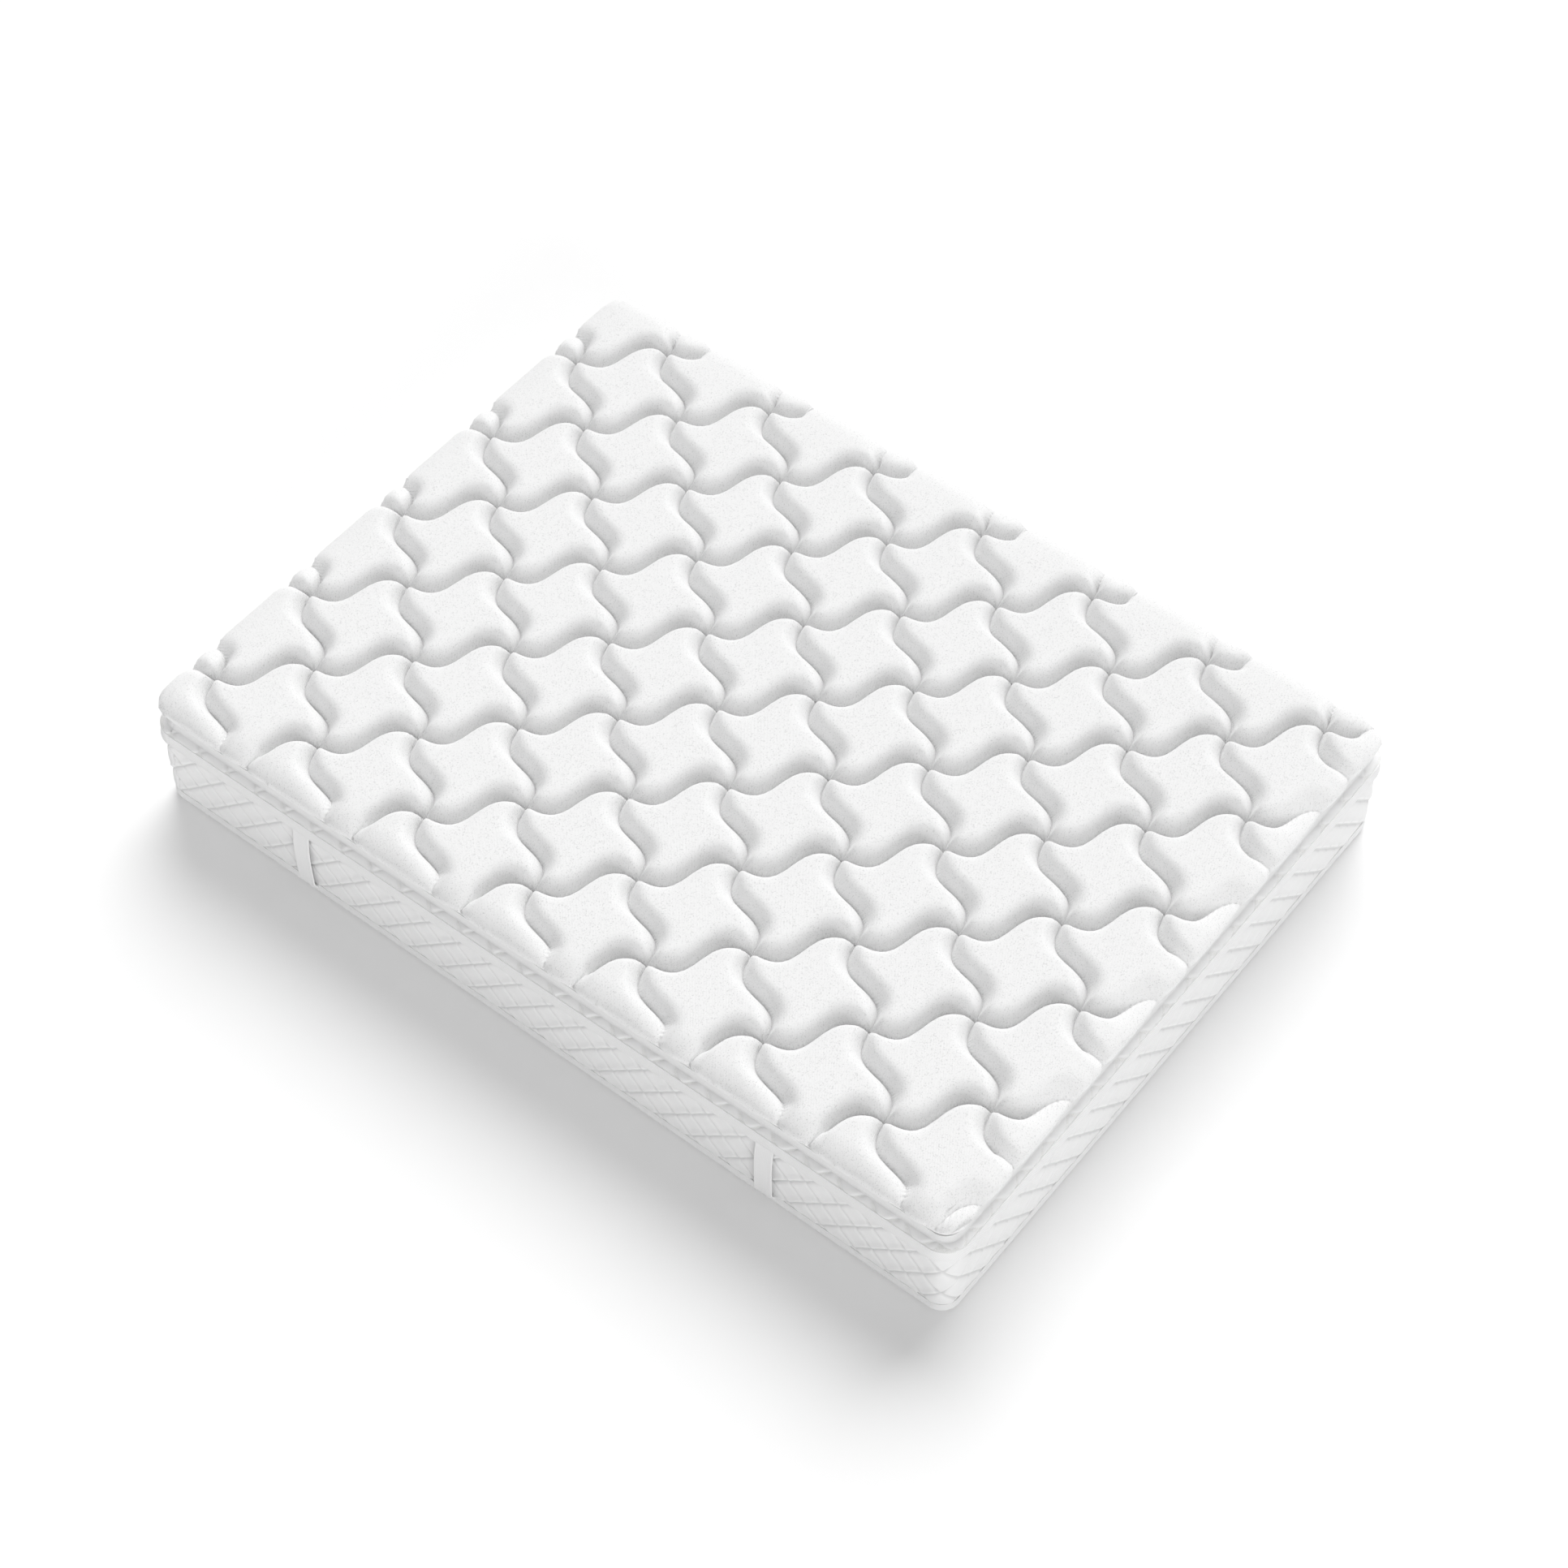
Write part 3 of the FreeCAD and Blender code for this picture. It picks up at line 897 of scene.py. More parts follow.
@dataclass
class QuiltedTop:
    """The puffed quilted panel, rolled over its edge down to the upper tape, and its stitching."""

    outline: Outline
    pattern: PinwheelPattern
    crown: float
    valley: float = 261 * MM
    tape_inset: float = 18 * MM
    tape_height: float = 236.2 * MM
    roll_width: float = 30 * MM
    outset: float = 3.5 * MM
    bulge_height: float = 274 * MM
    slope_share: float = 0.88
    slope_steps: int = 12
    shoulder_steps: int = 33
    shoulder_gather: float = 1.6
    shoulder_powers: tuple[float, float] = (1.9, 1 / 1.2)
    edge_fall: float = 5 * MM
    edge_fall_width: float = 80 * MM
    seam_width: float = 1e-4
    puff_reach: float = 37 * MM
    puff_power: float = 0.88
    blend: float = 10 * MM
    fullness: float = 0.8
    lobe: float = 42 * MM
    steps: int = 24
    rings: int = 12
    tuck: float = 2 * MM
    tuck_drop: float = 0.5 * MM
    tuck_rise: float = 4 * MM
    backing_inset: float = 25 * MM
    backing_height: float = 251.4 * MM
    stitch_length: float = 3.4 * MM
    stitch_pitch: float = 5.2 * MM
    stitch_radius: float = 0.45 * MM
    seam_stretch: float = 1.12
    stitch_arc: tuple[tuple[float, float], ...] = ((-1, -0.6), (-0.5, 1.0), (0.5, 1.0), (1, -0.6))

    def inset_of(self, pattern: np.ndarray) -> np.ndarray:
        """The inset of points given in pattern coordinates."""
        return self.outline.inset(self.pattern.plan(pattern))

    def corners(self) -> np.ndarray:
        """The pattern coordinates of the plan's four corners."""
        box = np.array([[x, y] for x in (-1, 1) for y in (-1, 1)], float)
        return self.pattern.coordinates(box * (self.outline.half_x, self.outline.half_y))

    def build(self) -> bpy.types.Object:
        """Build the panel as one closed form.

        Returns:
            The panel.
        """
        mesh = self.cut_pattern()
        points = self.surface(self.pattern.plan(mesh.points), self.rise(mesh.points))
        panel = mesh_object("quilted_top", points, mesh.faces)
        set_attribute(panel, "pattern", np.column_stack([mesh.points, np.zeros(len(points))]))
        self.close_underside(panel)
        return panel

    def cut_pattern(self) -> PatternMesh:
        """Lay the pattern over the plan and cut it to the tape, with rings round the roll.

        Returns:
            The pattern's mesh.
        """
        mesh = PatternMesh(self.corners(), self.steps)
        mesh.keep(self.inset_of, self.tape_inset)
        shares = (np.arange(self.rings + 1) / self.rings) ** 2
        levels = self.tape_inset + self.roll_width * shares
        gaps = np.diff(levels)
        mesh.split(self.inset_of, levels[0], gaps[0] / 3, trim=True)
        for level, gap in zip(levels[1:], gaps):
            mesh.split(self.inset_of, level, gap / 3)
        return mesh

    def rise(self, pattern: np.ndarray) -> np.ndarray:
        """How full the puffs are: rounded off where two seams meet, and fuller in their lobes.

        Args:
            pattern: pattern coordinates, whole numbers on stitched lines.

        Returns:
            Shares, nought on a stitched line and one on a crown.
        """
        gap = np.abs(pattern - np.round(pattern))
        gap = np.where(gap < self.seam_width, 0, gap) * self.pattern.pitch
        near, far = gap.min(axis=1), gap.max(axis=1)
        overlap = np.maximum(self.blend - (far - near), 0)
        rounded = near - overlap**2 / (4 * self.blend) * np.minimum(near / self.blend, 1)
        distance = rounded * (1 + self.fullness * np.exp(-far / self.lobe))
        return np.sin(pi / 2 * np.clip(distance / self.puff_reach, 0, 1)) ** self.puff_power

    def surface(self, plan: np.ndarray, rise: np.ndarray) -> np.ndarray:
        """Points between the stitched-down surface and the crowns of the puffs.

        Args:
            plan: one x and y a row.
            rise: nought on the stitched-down surface, one at the crown.

        Returns:
            One x, y and z a row.
        """
        inset = np.maximum(self.outline.inset(plan), self.tape_inset)
        outward = self.outline.outward(plan)
        wall = plan + outward * inset[:, None]
        into_roll = np.clip((inset - self.tape_inset) / self.roll_width, 0, 1)
        round_share = np.sqrt(1 - (1 - into_roll) ** 2)
        seam_height = self.tape_height + (self.valley - self.tape_height) * round_share
        crown_outset, crown_height = self.crown_profile(inset, into_roll)
        rise = 1 - (1 - rise) * into_roll
        outset = -inset + rise * (crown_outset + inset)
        height = seam_height + rise * (crown_height - seam_height)
        return np.column_stack([wall + outward * outset[:, None], height])

    def crown_profile(
        self, inset: np.ndarray, into_roll: np.ndarray
    ) -> tuple[np.ndarray, np.ndarray]:
        """The rolled outer envelope that the puffs fill.

        Args:
            inset: the inset of the stitched-down cloth below.
            into_roll: nought at the tape, one at the inner end of the roll.

        Returns:
            The envelope's outsets and heights.
        """
        corners = self.envelope()
        run = distances(corners)
        inner = self.roll_width / run[-1]
        share = inner * into_roll + (1 - inner) * (1 - (1 - into_roll) ** 2)
        walked = share * run[-1]
        outset = np.interp(walked, run, corners[:, 0])
        height = np.interp(walked, run, corners[:, 1])
        flat = into_roll >= 1
        edge = np.clip(1 - (inset - self.tape_inset) / self.edge_fall_width, 0, 1)
        height = np.where(flat, self.crown, height) - self.edge_fall * edge**2 * into_roll
        return np.where(flat, -inset, outset), height

    def envelope(self) -> np.ndarray:
        """The envelope's section from the tape over the shoulder to the flat top.

        Returns:
            One outset and height a row.
        """
        start = np.array([-self.tape_inset, self.tape_height])
        brow = np.array([self.outset, self.bulge_height])
        slope = start + (brow - start) * np.linspace(0, self.slope_share, self.slope_steps)[:, None]
        share = (np.linspace(0, 1, self.shoulder_steps) ** self.shoulder_gather)[:, None]
        shoulder = self.outset + self.tape_inset + self.roll_width
        steep, even = self.shoulder_powers
        climb = (1 - (1 - share) ** steep) ** even
        high = brow + np.hstack([-shoulder * share, (self.crown - self.bulge_height) * climb])
        return np.vstack([slope, high])

    def close_underside(self, panel: bpy.types.Object) -> None:
        """Turn the panel's edge in behind the tape and close its underside over the backing.

        Args:
            panel: the open panel.
        """
        form = bmesh.new()
        form.from_mesh(panel.data)
        for inset, height in (
            (self.tape_inset + self.tuck, self.tape_height - self.tuck_drop),
            (self.backing_inset, self.tape_height + self.tuck_rise),
            (self.backing_inset, self.backing_height),
        ):
            corners, plan = grow_rim(form)
            moved = plan + self.outline.outward(plan) * (self.outline.inset(plan) - inset)[:, None]
            for corner, (x, y) in zip(corners, moved.tolist()):
                corner.co = (x, y, height)
        rim = [edge for edge in form.edges if edge.is_boundary]
        bmesh.ops.holes_fill(form, edges=rim, sides=0)
        finish_form(form, panel)

    def stitching(self) -> bpy.types.Object:
        """Build the lock stitches that lie in the bottom of the quilting lines.

        Returns:
            All the stitches, as one piece.
        """
        low, high = line_range(self.corners())
        step = self.stitch_pitch / self.pattern.pitch / self.seam_stretch
        half = step * self.stitch_length / self.stitch_pitch / 2
        centres = []
        for family in (0, 1):
            runs = np.arange(low[1 - family], high[1 - family], step)
            for line in range(low[family], high[family] + 1):
                whole = np.full(len(runs), float(line))
                pair = [whole, runs] if family == 0 else [runs, whole]
                centres.append(np.column_stack([*pair, np.full(len(runs), float(family))]))
        stitches = np.vstack(centres)
        stitches = stitches[self.inset_of(stitches[:, :2]) > self.tape_inset + self.tuck]
        along = np.where(stitches[:, 2:] == 0, (0.0, 1.0), (1.0, 0.0))
        places = []
        for share, lift in self.stitch_arc:
            plan = self.pattern.plan(stitches[:, :2] + along * half * share)
            on_seam = self.surface(plan, np.zeros(len(plan)))
            places.append(on_seam + (0, 0, lift * self.stitch_radius))
        return thread_mesh("quilting_stitches", np.stack(places, axis=1), self.stitch_radius)


def thread_mesh(name: str, paths: np.ndarray, radius: float) -> bpy.types.Object:
    """Build many short threads of four sides as one mesh.

    Args:
        name: the piece's name.
        paths: for each thread, its points.
        radius: the thread's radius.

    Returns:
        The piece.
    """
    threads, stops = paths.shape[:2]
    ahead = np.gradient(paths, axis=1)
    ahead /= np.linalg.norm(ahead, axis=2)[:, :, None]
    aside = np.cross(ahead, (0.0, 0.0, 1.0))
    aside /= np.linalg.norm(aside, axis=2)[:, :, None]
    above = np.cross(aside, ahead)
    turns = (0, pi / 2, pi, 3 * pi / 2)
    rings = [paths + radius * (cos(turn) * aside + sin(turn) * above) for turn in turns]
    points = np.stack(rings, axis=2).reshape(-1, 3)
    around = len(turns)
    faces = []
    for thread in range(threads):
        faces += tube_faces(stops, around, thread * stops * around)
    return mesh_object(name, points, faces)


# ------------------------------------------------------------------------------ quilted bands
@dataclass(frozen=True)
class DiamondPattern:
    """Straight crossing quilting lines on a strip that closes on itself round the mattress.

    The lines run at 45 degrees, and the whole pattern sinks by one diamond on its way round.
    """

    outline: Outline
    diamonds: int
    phase: float
    datum: float

    @property
    def width(self) -> float:
        """The distance between two diamonds' tips, along the strip."""
        return self.outline.length / self.diamonds

    @property
    def cell(self) -> float:
        """The distance between two parallel lines."""
        return self.width / 2**0.5

    def strip(self, pattern: np.ndarray) -> np.ndarray:
        """Where points of the pattern lie on the strip.

        Args:
            pattern: pattern coordinates, one pair a row.

        Returns:
            A run along the strip and a rise up it in each row.
        """
        share = ((pattern[:, 0] + pattern[:, 1]) / 2 - self.phase) / self.diamonds
        rise = self.datum + self.width * ((pattern[:, 0] - pattern[:, 1]) / 2 - share)
        return np.column_stack([share * self.outline.length, rise])

    def coordinates(self, strip: np.ndarray) -> np.ndarray:
        """The pattern coordinates of points of the strip.

        Args:
            strip: a run along the strip and a rise up it in each row.

        Returns:
            Pattern coordinates, one pair a row.
        """
        share = strip[:, 0] / self.outline.length
        along = share * self.diamonds + self.phase
        up = (strip[:, 1] - self.datum) / self.width + share
        return np.column_stack([along + up, along - up])


@dataclass
class QuiltedBand:
    """A strip of diamond-quilted cloth that runs round the mattress."""

    name: str
    outline: Outline
    pattern: DiamondPattern
    section: np.ndarray
    groove: float
    welt: float
    steps: int
    hem: float
    hem_fade: float
    groove_widths: tuple[float, float] = (5.4 * MM, 3.4 * MM)
    welt_width: float = 5 * MM
    welt_rise: float = 7 * MM
    slack: float = 0.2 * MM
    exact: float = 1e-9
    weld: float = 0.02 * MM

    def build(self) -> bpy.types.Object:
        """Build the band, with its long edges turned in.

        Returns:
            The band.
        """
        rises = distances(self.section)
        top, length = rises[-1], self.outline.length
        mesh = self.cut_pattern(top, length)
        strip = self.pattern.strip(mesh.points)
        rise = np.clip(strip[:, 1], 0, top)
        hem_fade = np.clip(np.minimum(rise, top - rise) / self.hem_fade, 0, 1)
        height = self.relief(mesh.points) * hem_fade
        slope = np.gradient(self.section, rises, axis=0)
        outset, level, slope_out, slope_up = (
            np.interp(rise, rises, column) for column in np.hstack([self.section, slope]).T
        )
        wall, outward = self.outline.walk(strip[:, 0])
        outset = outset + height * slope_up
        level = level - height * slope_out
        points = np.column_stack([wall + outward * outset[:, None], level])
        band = mesh_object(self.name, points, mesh.faces)
        set_attribute(band, "run", strip[:, 0])
        set_attribute(band, "rise", rise)
        # How deep each point lies in a groove, which the cloth's finish turns into painted shade.
        set_attribute(band, "seam_shade", self.dips(mesh.points) * hem_fade)
        self.turn_in(band)
        return band

    def cut_pattern(self, top: float, length: float) -> PatternMesh:
        """Lay the pattern over the strip and cut it to its four edges.

        Args:
            top: the rise at the strip's upper edge.
            length: the run at its far end.

        Returns:
            The pattern's mesh.
        """
        ends = np.array([[0, 0], [0, top], [length, 0], [length, top]])
        mesh = PatternMesh(self.pattern.coordinates(ends), self.steps)
        for part, sign, level, slack in (
            (1, 1, 0.0, self.slack),
            (1, -1, -top, self.slack),
            (0, 1, 0.0, self.slack),
            (0, -1, -length, self.exact),
        ):
            field = self.edge_field(part, sign)
            mesh.keep(field, level)
            mesh.split(field, level, slack, trim=True)
        return mesh

    def edge_field(self, part: int, sign: int) -> Field:
        """A field that rises along the strip, up it, or the other way.

        Args:
            part: nought for the run along the strip, one for the rise up it.
            sign: one, or minus one for the other way.

        Returns:
            The field.
        """

        def field(pattern: np.ndarray) -> np.ndarray:
            """The field's value at points in pattern coordinates."""
            return sign * self.pattern.strip(pattern)[:, part]

        return field

    def relief(self, pattern: np.ndarray) -> np.ndarray:
        """How far the cloth stands out: a groove on each line, and a soft welt just above it.

        Args:
            pattern: pattern coordinates, whole numbers on stitched lines.

        Returns:
            Heights over the section.
        """
        above = (pattern - np.round(pattern)) * (1, -1) * self.pattern.cell
        swells = np.exp(-(((above - self.welt_rise) / self.welt_width) ** 2)).max(axis=1)
        return self.welt * swells - self.groove * self.dips(pattern)

    def dips(self, pattern: np.ndarray) -> np.ndarray:
        """How deep in a groove each point lies, from nought to one on the stitched line."""
        gap = (pattern - np.round(pattern)) * self.pattern.cell
        return np.exp(-((gap / self.groove_widths) ** 2)).max(axis=1)

    def turn_in(self, band: bpy.types.Object) -> None:
        """Join the strip's two ends and turn its long edges in towards the foam.

        Args:
            band: the open strip.
        """
        form = bmesh.new()
        form.from_mesh(band.data)
        bmesh.ops.remove_doubles(form, verts=form.verts, dist=self.weld)
        corners, plan = grow_rim(form)
        moved = plan - self.outline.outward(plan) * self.hem
        for corner, (x, y) in zip(corners, moved.tolist()):
            corner.co.xy = (x, y)
        finish_form(form, band)


# ------------------------------------------------------------------------------ tapes
@dataclass
class Tape:
    """A woven tape that runs round the mattress, with a corded edge along each side."""

    name: str
    outline: Outline
    centreline: np.ndarray
    thickness: float
    cord: float
    cord_reach: float
    step: float = 40 * MM
    corner_steps: int = 20
    section_steps: int = 24

    def section(self) -> tuple[np.ndarray, np.ndarray]:
        """Lay out the tape's closed section.

        Returns:
            An outset and a height for each of its points, and how far up the tape each lies.
        """
        rise = distances(self.centreline)
        turns = pi * np.arange(self.section_steps + 1) / self.section_steps
        shares = (1 - np.cos(turns)) / 2 * rise[-1]
        middle = np.column_stack([np.interp(shares, rise, part) for part in self.centreline.T])
        out = square_to(np.gradient(middle, shares, axis=0))
        edge = np.minimum(shares, rise[-1] - shares)
        swell = self.cord * np.exp(-((edge / self.cord_reach) ** 2))
        nose = np.sqrt(np.clip(1 - (1 - np.clip(edge / (self.thickness / 2), 0, 1)) ** 2, 0, 1))
        half = ((self.thickness / 2 + swell) * nose)[:, None]
        front, back = middle + out * half, middle - out * half
        return np.vstack([front, back[-2:0:-1]]), np.concatenate([shares, shares[-2:0:-1]])

    def build(self) -> bpy.types.Object:
        """Sweep the section round the mattress.

        Returns:
            The tape.
        """
        section, rise = self.section()
        run = self.outline.stations(self.step, self.corner_steps)
        wall, outward = self.outline.walk(run)
        plan = wall[:, None, :] + outward[:, None, :] * section[None, :, 0, None]
        heights = np.broadcast_to(section[None, :, 1, None], (*plan.shape[:2], 1))
        points = np.concatenate([plan, heights], axis=2).reshape(-1, 3)
        around = len(section)
        open_tube = tube_faces(len(run), around)[:-2]
        faces = [(here, there, ahead, beside) for here, beside, ahead, there in open_tube]
        tape = mesh_object(self.name, points, faces)
        set_attribute(tape, "run", np.repeat(run, around))
        set_attribute(tape, "rise", np.tile(rise, len(run)))
        return tape


# ------------------------------------------------------------------------------ handles
@dataclass
class Handle:
    """An upright webbing handle, sewn in at the bottom edge tape and under the lower tape."""

    body: str
    wall: float
    low: Vector
    high: Vector
    selvedge: float = 1.18
    rim_steps: int = 7
    smoothings: int = 4

    def __post_init__(self) -> None:
        """Read the webbing's place and gauge from its box in the frame."""
        self.side = 1.0 if self.low.x > 0 else -1.0
        self.centre = (self.low.y + self.high.y) / 2
        self.width = self.high.y - self.low.y
        self.gauge = self.high.x - self.low.x
        self.parting = (self.low.z + self.high.z) / 2

    def route(self) -> np.ndarray:
        """The corners of the webbing's way from the bottom edge tape to the lower tape.

        Returns:
            One outset and height a row.
        """
        middle = max(abs(self.low.x), abs(self.high.x)) - self.wall - self.gauge / 2
        stand = middle / MM
        corners = (
            (2.6 - self.gauge / 2 / MM, 22),
            (2.2, 27),
            (stand - 0.6, 33),
            (stand, 48),
            (stand + 0.6, 84),
            (stand + 0.4, 120),
            (stand - 1.4, 152),
            (2.4, 182),
            (1.6, 208),
        )
        return np.array(corners) * MM

    def build(self) -> list[bpy.types.Object]:
        """Build the handle's lower and upper halves.

        Returns:
            The two halves.
        """
        line = self.centreline()
        cut = int(np.abs(line[:, 1] - self.parting).argmin())
        lower = self.half(f"{self.body}_webbing_lower", line[: cut + 1])
        upper = self.half(f"{self.body}_webbing_upper", line[cut:])
        return [lower, upper]

    def centreline(self) -> np.ndarray:
        """The webbing's middle, smoothed through its route.

        Returns:
            One outset and height a row.
        """
        smooth = route = self.route()
        for _ in range(self.smoothings):
            early = smooth[:-1] * 0.75 + smooth[1:] * 0.25
            late = smooth[:-1] * 0.25 + smooth[1:] * 0.75
            inner = np.stack([early, late], axis=1).reshape(-1, 2)
            smooth = np.vstack([route[:1], inner[1:-1], route[-1:]])
        return smooth

    def half(self, name: str, line: np.ndarray) -> bpy.types.Object:
        """Sweep the webbing's section along part of its line.

        Args:
            name: the piece's name.
            line: outsets and heights along the stretch.

        Returns:
            The piece.
        """
        out = square_to(np.gradient(line, axis=0))
        across, depth = self.section().T
        around = len(across)
        places = line[:, None, :] + out[:, None, :] * depth[None, :, None]
        beside = np.broadcast_to(self.centre + across, places.shape[:2])
        plumb = self.side * (self.wall + places[:, :, 0])
        points = np.stack([plumb, beside, places[:, :, 1]], axis=2).reshape(-1, 3)
        faces = tube_faces(len(line), around)
        if self.side < 0:
            faces = [face[::-1] for face in faces]
        piece = mesh_object(name, points, faces)
        last_ring = (len(line) - 1) * around
        for edge in piece.data.edges:
            start, end = edge.vertices
            edge.use_edge_sharp = max(start, end) < around or min(start, end) >= last_ring
        set_attribute(piece, "run", np.repeat(distances(line) + line[0, 1], around))
        set_attribute(piece, "rise", np.tile(across, len(line)))
        return piece

    def section(self) -> np.ndarray:
        """The webbing's section, a flat bar with round edges that are a little thicker.

        Returns:
            A place across the webbing and a depth through it in each row.
        """
        thick = self.gauge / 2
        flat = self.width / 2 - thick
        turns = np.linspace(-pi / 2, pi / 2, self.rim_steps)[:, None]
        rim = (flat, 0) + thick * self.selvedge * np.hstack([np.cos(turns), np.sin(turns)])
        front = np.vstack([rim, [(flat * share, thick) for share in (0.9, 0.5, 0.0, -0.5, -0.9)]])
        return np.vstack([front, -front])

    def bend(self, halves: list[bpy.types.Object]) -> None:
        """Bake each half's placing into its mesh, and hide the frame's handle and its ends.

        Args:
            halves: the lower and the upper half.
        """
        lower, upper = halves
        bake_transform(lower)
        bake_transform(upper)
        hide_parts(self.body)
        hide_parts(f"{self.body}_ends")


# ------------------------------------------------------------------------------ the mattress
@dataclass
class Cover:
    """The whole cover: quilted top, tapes, gusset, border, bottom edge and handles."""

    half_x: float
    half_y: float
    height: float
    border_radius: float = 40 * MM
    upper_radius: float = 48 * MM
    diamonds: int = 88
    handle_names: tuple[str, ...] = (
        "handle_left_head",
        "handle_left_foot",
        "handle_right_head",
        "handle_right_foot",
    )

    def __post_init__(self) -> None:
        """Work out the plan outlines of the lower and upper parts."""
        self.low_outline = Outline(self.half_x, self.half_y, self.border_radius)
        self.high_outline = Outline(self.half_x, self.half_y, self.upper_radius)

    def make_top(self) -> None:
        """Build the quilted top and its stitching."""
        pattern = PinwheelPattern()
        top = QuiltedTop(self.high_outline, pattern, self.height - 1 * MM)
        knit = KnitTicking(cell=pattern.pitch).make()
        fit(top.build(), knit, Slot.KNIT_TICKING, "quilt_ticking", "quilt_wadding", fill=0.85)
        thread = FlatCloth(
            name="quilting_thread",
            colour=grey(0.9),
            shade=grey(0.84),
            thread=0.8 * MM,
            thread_height=0.1 * MM,
        )
        fit(top.stitching(), thread.make(), Slot.KNIT_TICKING)

    def make_border(self) -> None:
        """Build the quilted border, which bellies out over the bottom edge from a drawn-in foot."""
        foot, belly, draw_in, plumb = 21, 52, 3.2, -1.4
        turn = np.linspace(1, 0, 9)[:, None]
        low_part = np.hstack([-draw_in * turn**2, belly - (belly - foot) * turn])
        section = np.vstack([low_part, [[0, 120], [0, 188], [-1, 212]]]) + (plumb, 0)
        band = QuiltedBand(
            name="quilted_border",
            outline=self.low_outline,
            pattern=DiamondPattern(self.low_outline, self.diamonds, 0.193, 142.9 * MM),
            section=section * MM,
            groove=3.2 * MM,
            welt=2.6 * MM,
            steps=14,
            hem=7 * MM,
            hem_fade=9 * MM,
        )
        cloth = QuiltedCloth().make()
        fit(band.build(), cloth, Slot.BORDER_CLOTH, "border_ticking", "border_wadding", fill=0.5)

    def make_gusset(self) -> None:
        """Build the rounded quilted gusset between the lower and the upper tape."""
        start, end = np.array([3.8, 212.6]) * MM, np.array([-11.4, 223.8]) * MM
        radius = 15 * MM
        chord = end - start
        half = np.linalg.norm(chord) / 2
        half_angle = asin(half / radius)
        out = np.array([chord[1], -chord[0]]) / (2 * half)
        centre = (start + end) / 2 - out * radius * cos(half_angle)
        facing = np.arctan2(out[1], out[0])
        turns = facing + np.linspace(-half_angle, half_angle, 21)
        band = QuiltedBand(
            name="quilted_gusset",
            outline=self.high_outline,
            pattern=DiamondPattern(self.high_outline, self.diamonds, -0.047, 7.3 * MM),
            section=centre + radius * np.column_stack([np.cos(turns), np.sin(turns)]),
            groove=2.4 * MM,
            welt=1.6 * MM,
            steps=12,
            hem=1 * MM,
            hem_fade=3 * MM,
        )
        # The gusset's grooves get a lighter painted shade than the border's.
        cloth = QuiltedCloth(name="quilted_gusset_cloth", shade=grey(0.83)).make()
        fit(band.build(), cloth, Slot.BORDER_CLOTH, "gusset_ticking", fill=0.7)

    def make_tapes(self) -> None:
        """Build the bottom edge tape, the flared lower tape and the narrow upper tape."""
        ribbed = RibbedTape().make()
        turn = np.linspace(0, 1, 13)[:, None] * pi / 2
        wrap = np.hstack([11 * np.sin(turn) - 12, 12 - 11 * np.cos(turn)])
        edge = np.vstack([[-16.0, 1.4], wrap, [-1.4, 18.0], [-3.6, 24.8]]) * MM
        lower = np.array([[6.4, 187.4], [5.6, 194.0], [4.4, 204.0], [3.4, 214.4]]) * MM
        upper = np.array([[-10.2, 224.0], [-13.8, 229.8], [-16.6, 236.4]]) * MM
        low, high = self.low_outline, self.high_outline
        tapes = {
            "bottom_edge_tape": Tape("edge_binding", low, edge, 1.8 * MM, 0.5 * MM, 1.8 * MM),
            "lower_tape": Tape("lower_binding", high, lower, 2.0 * MM, 0.9 * MM, 2.0 * MM),
            "upper_tape": Tape("upper_binding", high, upper, 1.6 * MM, 1.2 * MM, 1.7 * MM),
        }
        for node, tape in tapes.items():
            fit(tape.build(), ribbed, Slot.RIBBED_TAPE, node)

    def make_handles(self) -> None:
        """Build the four webbing handles."""
        webbing = Webbing().make()
        for body in self.handle_names:
            handle = Handle(body, self.half_x, *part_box(body))
            halves = handle.build()
            for half in halves:
                dress(half, webbing)
            handle.bend(halves)
            for half in halves:
                report(half)

    def make(self) -> None:
        """Build every piece of the cover."""
        self.make_top()
        self.make_gusset()
        self.make_border()
        self.make_tapes()
        self.make_handles()


def flat_cloth(name: str, colour: Colour, shade: Colour, thread: float, height: float) -> FlatCloth:
    """A plain cloth, with its thread's width and height in millimetres."""
    return FlatCloth(
        name=name, colour=colour, shade=shade, thread=thread * MM, thread_height=height * MM
    )


def foam(name: str, colour: Colour, shade: Colour, cell: float) -> OpenCellFoam:
    """A foam, with its cells' width in millimetres."""
    return OpenCellFoam(name=name, colour=colour, shade=shade, cell=cell * MM)


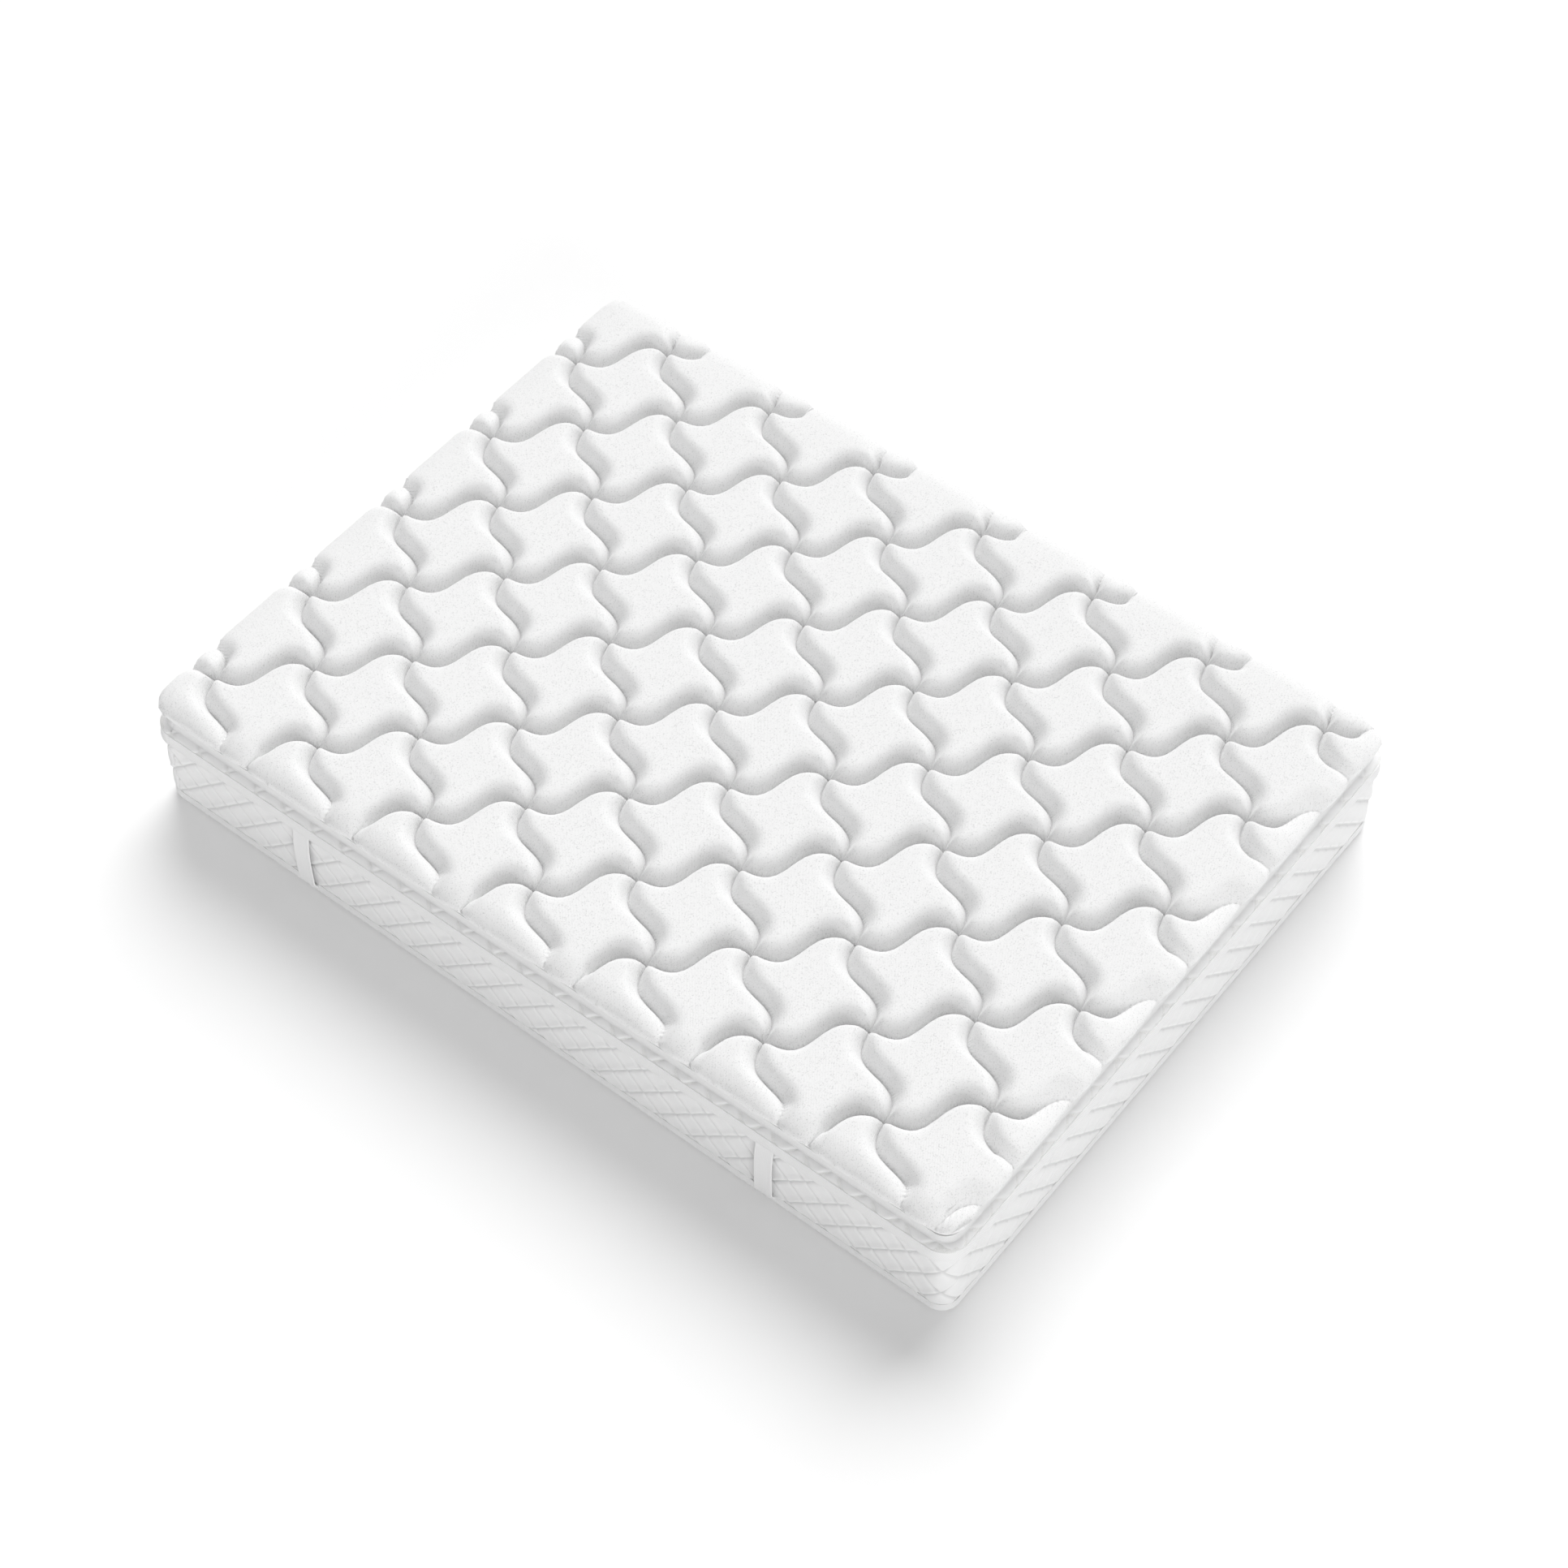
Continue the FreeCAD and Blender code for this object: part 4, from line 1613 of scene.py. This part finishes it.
@dataclass
class Inside:
    """The pieces that are right as they come from the frame: the foam, its sleeve and cloths."""

    nodes: dict[str, bpy.types.Object]

    def make(self) -> None:
        """Give each piece its own finish."""
        base = flat_cloth("base_cloth", grey(0.84), grey(0.78), 1.6, 0.2)
        scrim = flat_cloth("nonwoven_scrim", grey(0.86), grey(0.78), 0.9, 0.1)
        sleeve = flat_cloth("sleeve_knit", (0.88, 0.86, 0.82), (0.82, 0.8, 0.75), 1.4, 0.25)
        # The second colour of each foam is the shade painted into its pores.
        memory = foam("memory_foam", (0.9, 0.85, 0.7), (0.8, 0.74, 0.58), 1.2)
        transition = foam("transition_foam", (0.7, 0.8, 0.88), (0.58, 0.68, 0.78), 1.8)
        support = foam("support_foam", (0.88, 0.87, 0.83), (0.74, 0.73, 0.68), 2.2)
        rail = foam("rail_foam", (0.76, 0.78, 0.8), (0.62, 0.64, 0.67), 1.5)
        rails = ("rail_left", "rail_right", "rail_head", "rail_foot")
        for finish, slot, padded, names in (
            (base, Slot.BASE_CLOTH, False, ("bottom_panel",)),
            (scrim, Slot.SCRIM, False, ("border_backing", "quilt_backing")),
            (sleeve, Slot.SLEEVE_KNIT, False, ("foam_sleeve",)),
            (LooseFibre(), Slot.FIBRE_WADDING, True, ("gusset_wadding",)),
            (memory, Slot.MEMORY_FOAM, True, ("memory_foam_layer",)),
            (transition, Slot.TRANSITION_FOAM, True, ("transition_foam_layer",)),
            (support, Slot.SUPPORT_FOAM, True, ("base_foam_core",)),
            (rail, Slot.RAIL_FOAM, True, rails),
        ):
            material = finish.make()
            for name in names:
                dress(self.nodes[name], material)
                LOG.info("dressed %s", name)


# ------------------------------------------------------------------------------ studio
@dataclass(frozen=True)
class SoftLight:
    """A distant softbox: where it stands, how wide it looks and how bright it is."""

    name: str
    heading: Triple
    spread: float
    strength: float

    def place(self) -> None:
        """Put the light in the scene."""
        lamp = bpy.data.lights.new(self.name, "SUN")
        lamp.angle = radians(self.spread)
        lamp.energy = self.strength
        stand = bpy.data.objects.new(self.name, lamp)
        stand.rotation_mode = "QUATERNION"
        stand.rotation_quaternion = Vector(self.heading).to_track_quat("Z", "Y")
        bpy.context.scene.collection.objects.link(stand)


@dataclass(frozen=True)
class Studio:
    """A pale floor, soft light all round, and the camera."""

    floor_size: float = 600.0
    floor_colour: Colour = grey(0.97)
    sky: float = 0.42
    azimuth: float = -51.87
    elevation: float = 52.56
    eye: Triple = (-3.153, -2.514, 5.334)
    lens: float = 78.36
    sensor: float = 36.0
    lights: tuple[SoftLight, ...] = (
        SoftLight("key_light", (0.64, 0.26, 0.72), 48.0, 2.55),
        SoftLight("fill_light", (-0.56, -0.8, 0.18), 40.0, 1.45),
    )

    def make(self) -> None:
        """Build the floor, the lights and the camera."""
        half = self.floor_size / 2
        corners = [(-half, -half, 0), (half, -half, 0), (half, half, 0), (-half, half, 0)]
        floor = mesh_object("studio_floor", np.array(corners), [(0, 1, 2, 3)])
        finish = Surface("studio_floor", self.floor_colour, 0.9)
        finish.sheen(0.0, 0.1)
        floor.data.materials.append(finish.material)
        world = bpy.data.worlds.new("studio_light")
        bpy.context.scene.world = world
        world.use_nodes = True
        background = world.node_tree.nodes["Background"]
        background.inputs["Color"].default_value = (1, 1, 1, 1)
        background.inputs["Strength"].default_value = self.sky
        for light in self.lights:
            light.place()
        bpy.context.scene.view_settings.view_transform = "Standard"
        self.place_camera()

    def place_camera(self) -> None:
        """Put the camera where it looks down on the foot end's left corner."""
        data = bpy.data.cameras.new("studio_camera")
        data.lens = self.lens
        data.sensor_width = self.sensor
        camera = bpy.data.objects.new("studio_camera", data)
        turn, tilt = radians(self.azimuth), radians(self.elevation)
        back = Vector((sin(turn) * cos(tilt), -cos(turn) * cos(tilt), sin(tilt)))
        camera.location = self.eye
        camera.rotation_mode = "QUATERNION"
        camera.rotation_quaternion = (-back).to_track_quat("-Z", "Y")
        bpy.context.scene.collection.objects.link(camera)
        bpy.context.scene.camera = camera


def main() -> None:
    """Build the mattress round its frame."""
    logging.basicConfig(level=logging.INFO, format="%(name)s: %(message)s")
    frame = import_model()
    wall_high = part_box("border_ticking")[1]
    top_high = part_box("quilt_ticking")[1]
    Studio().make()
    Cover(wall_high.x, wall_high.y, top_high.z).make()
    Inside(frame["nodes"]).make()


if __name__ == "__main__":
    main()
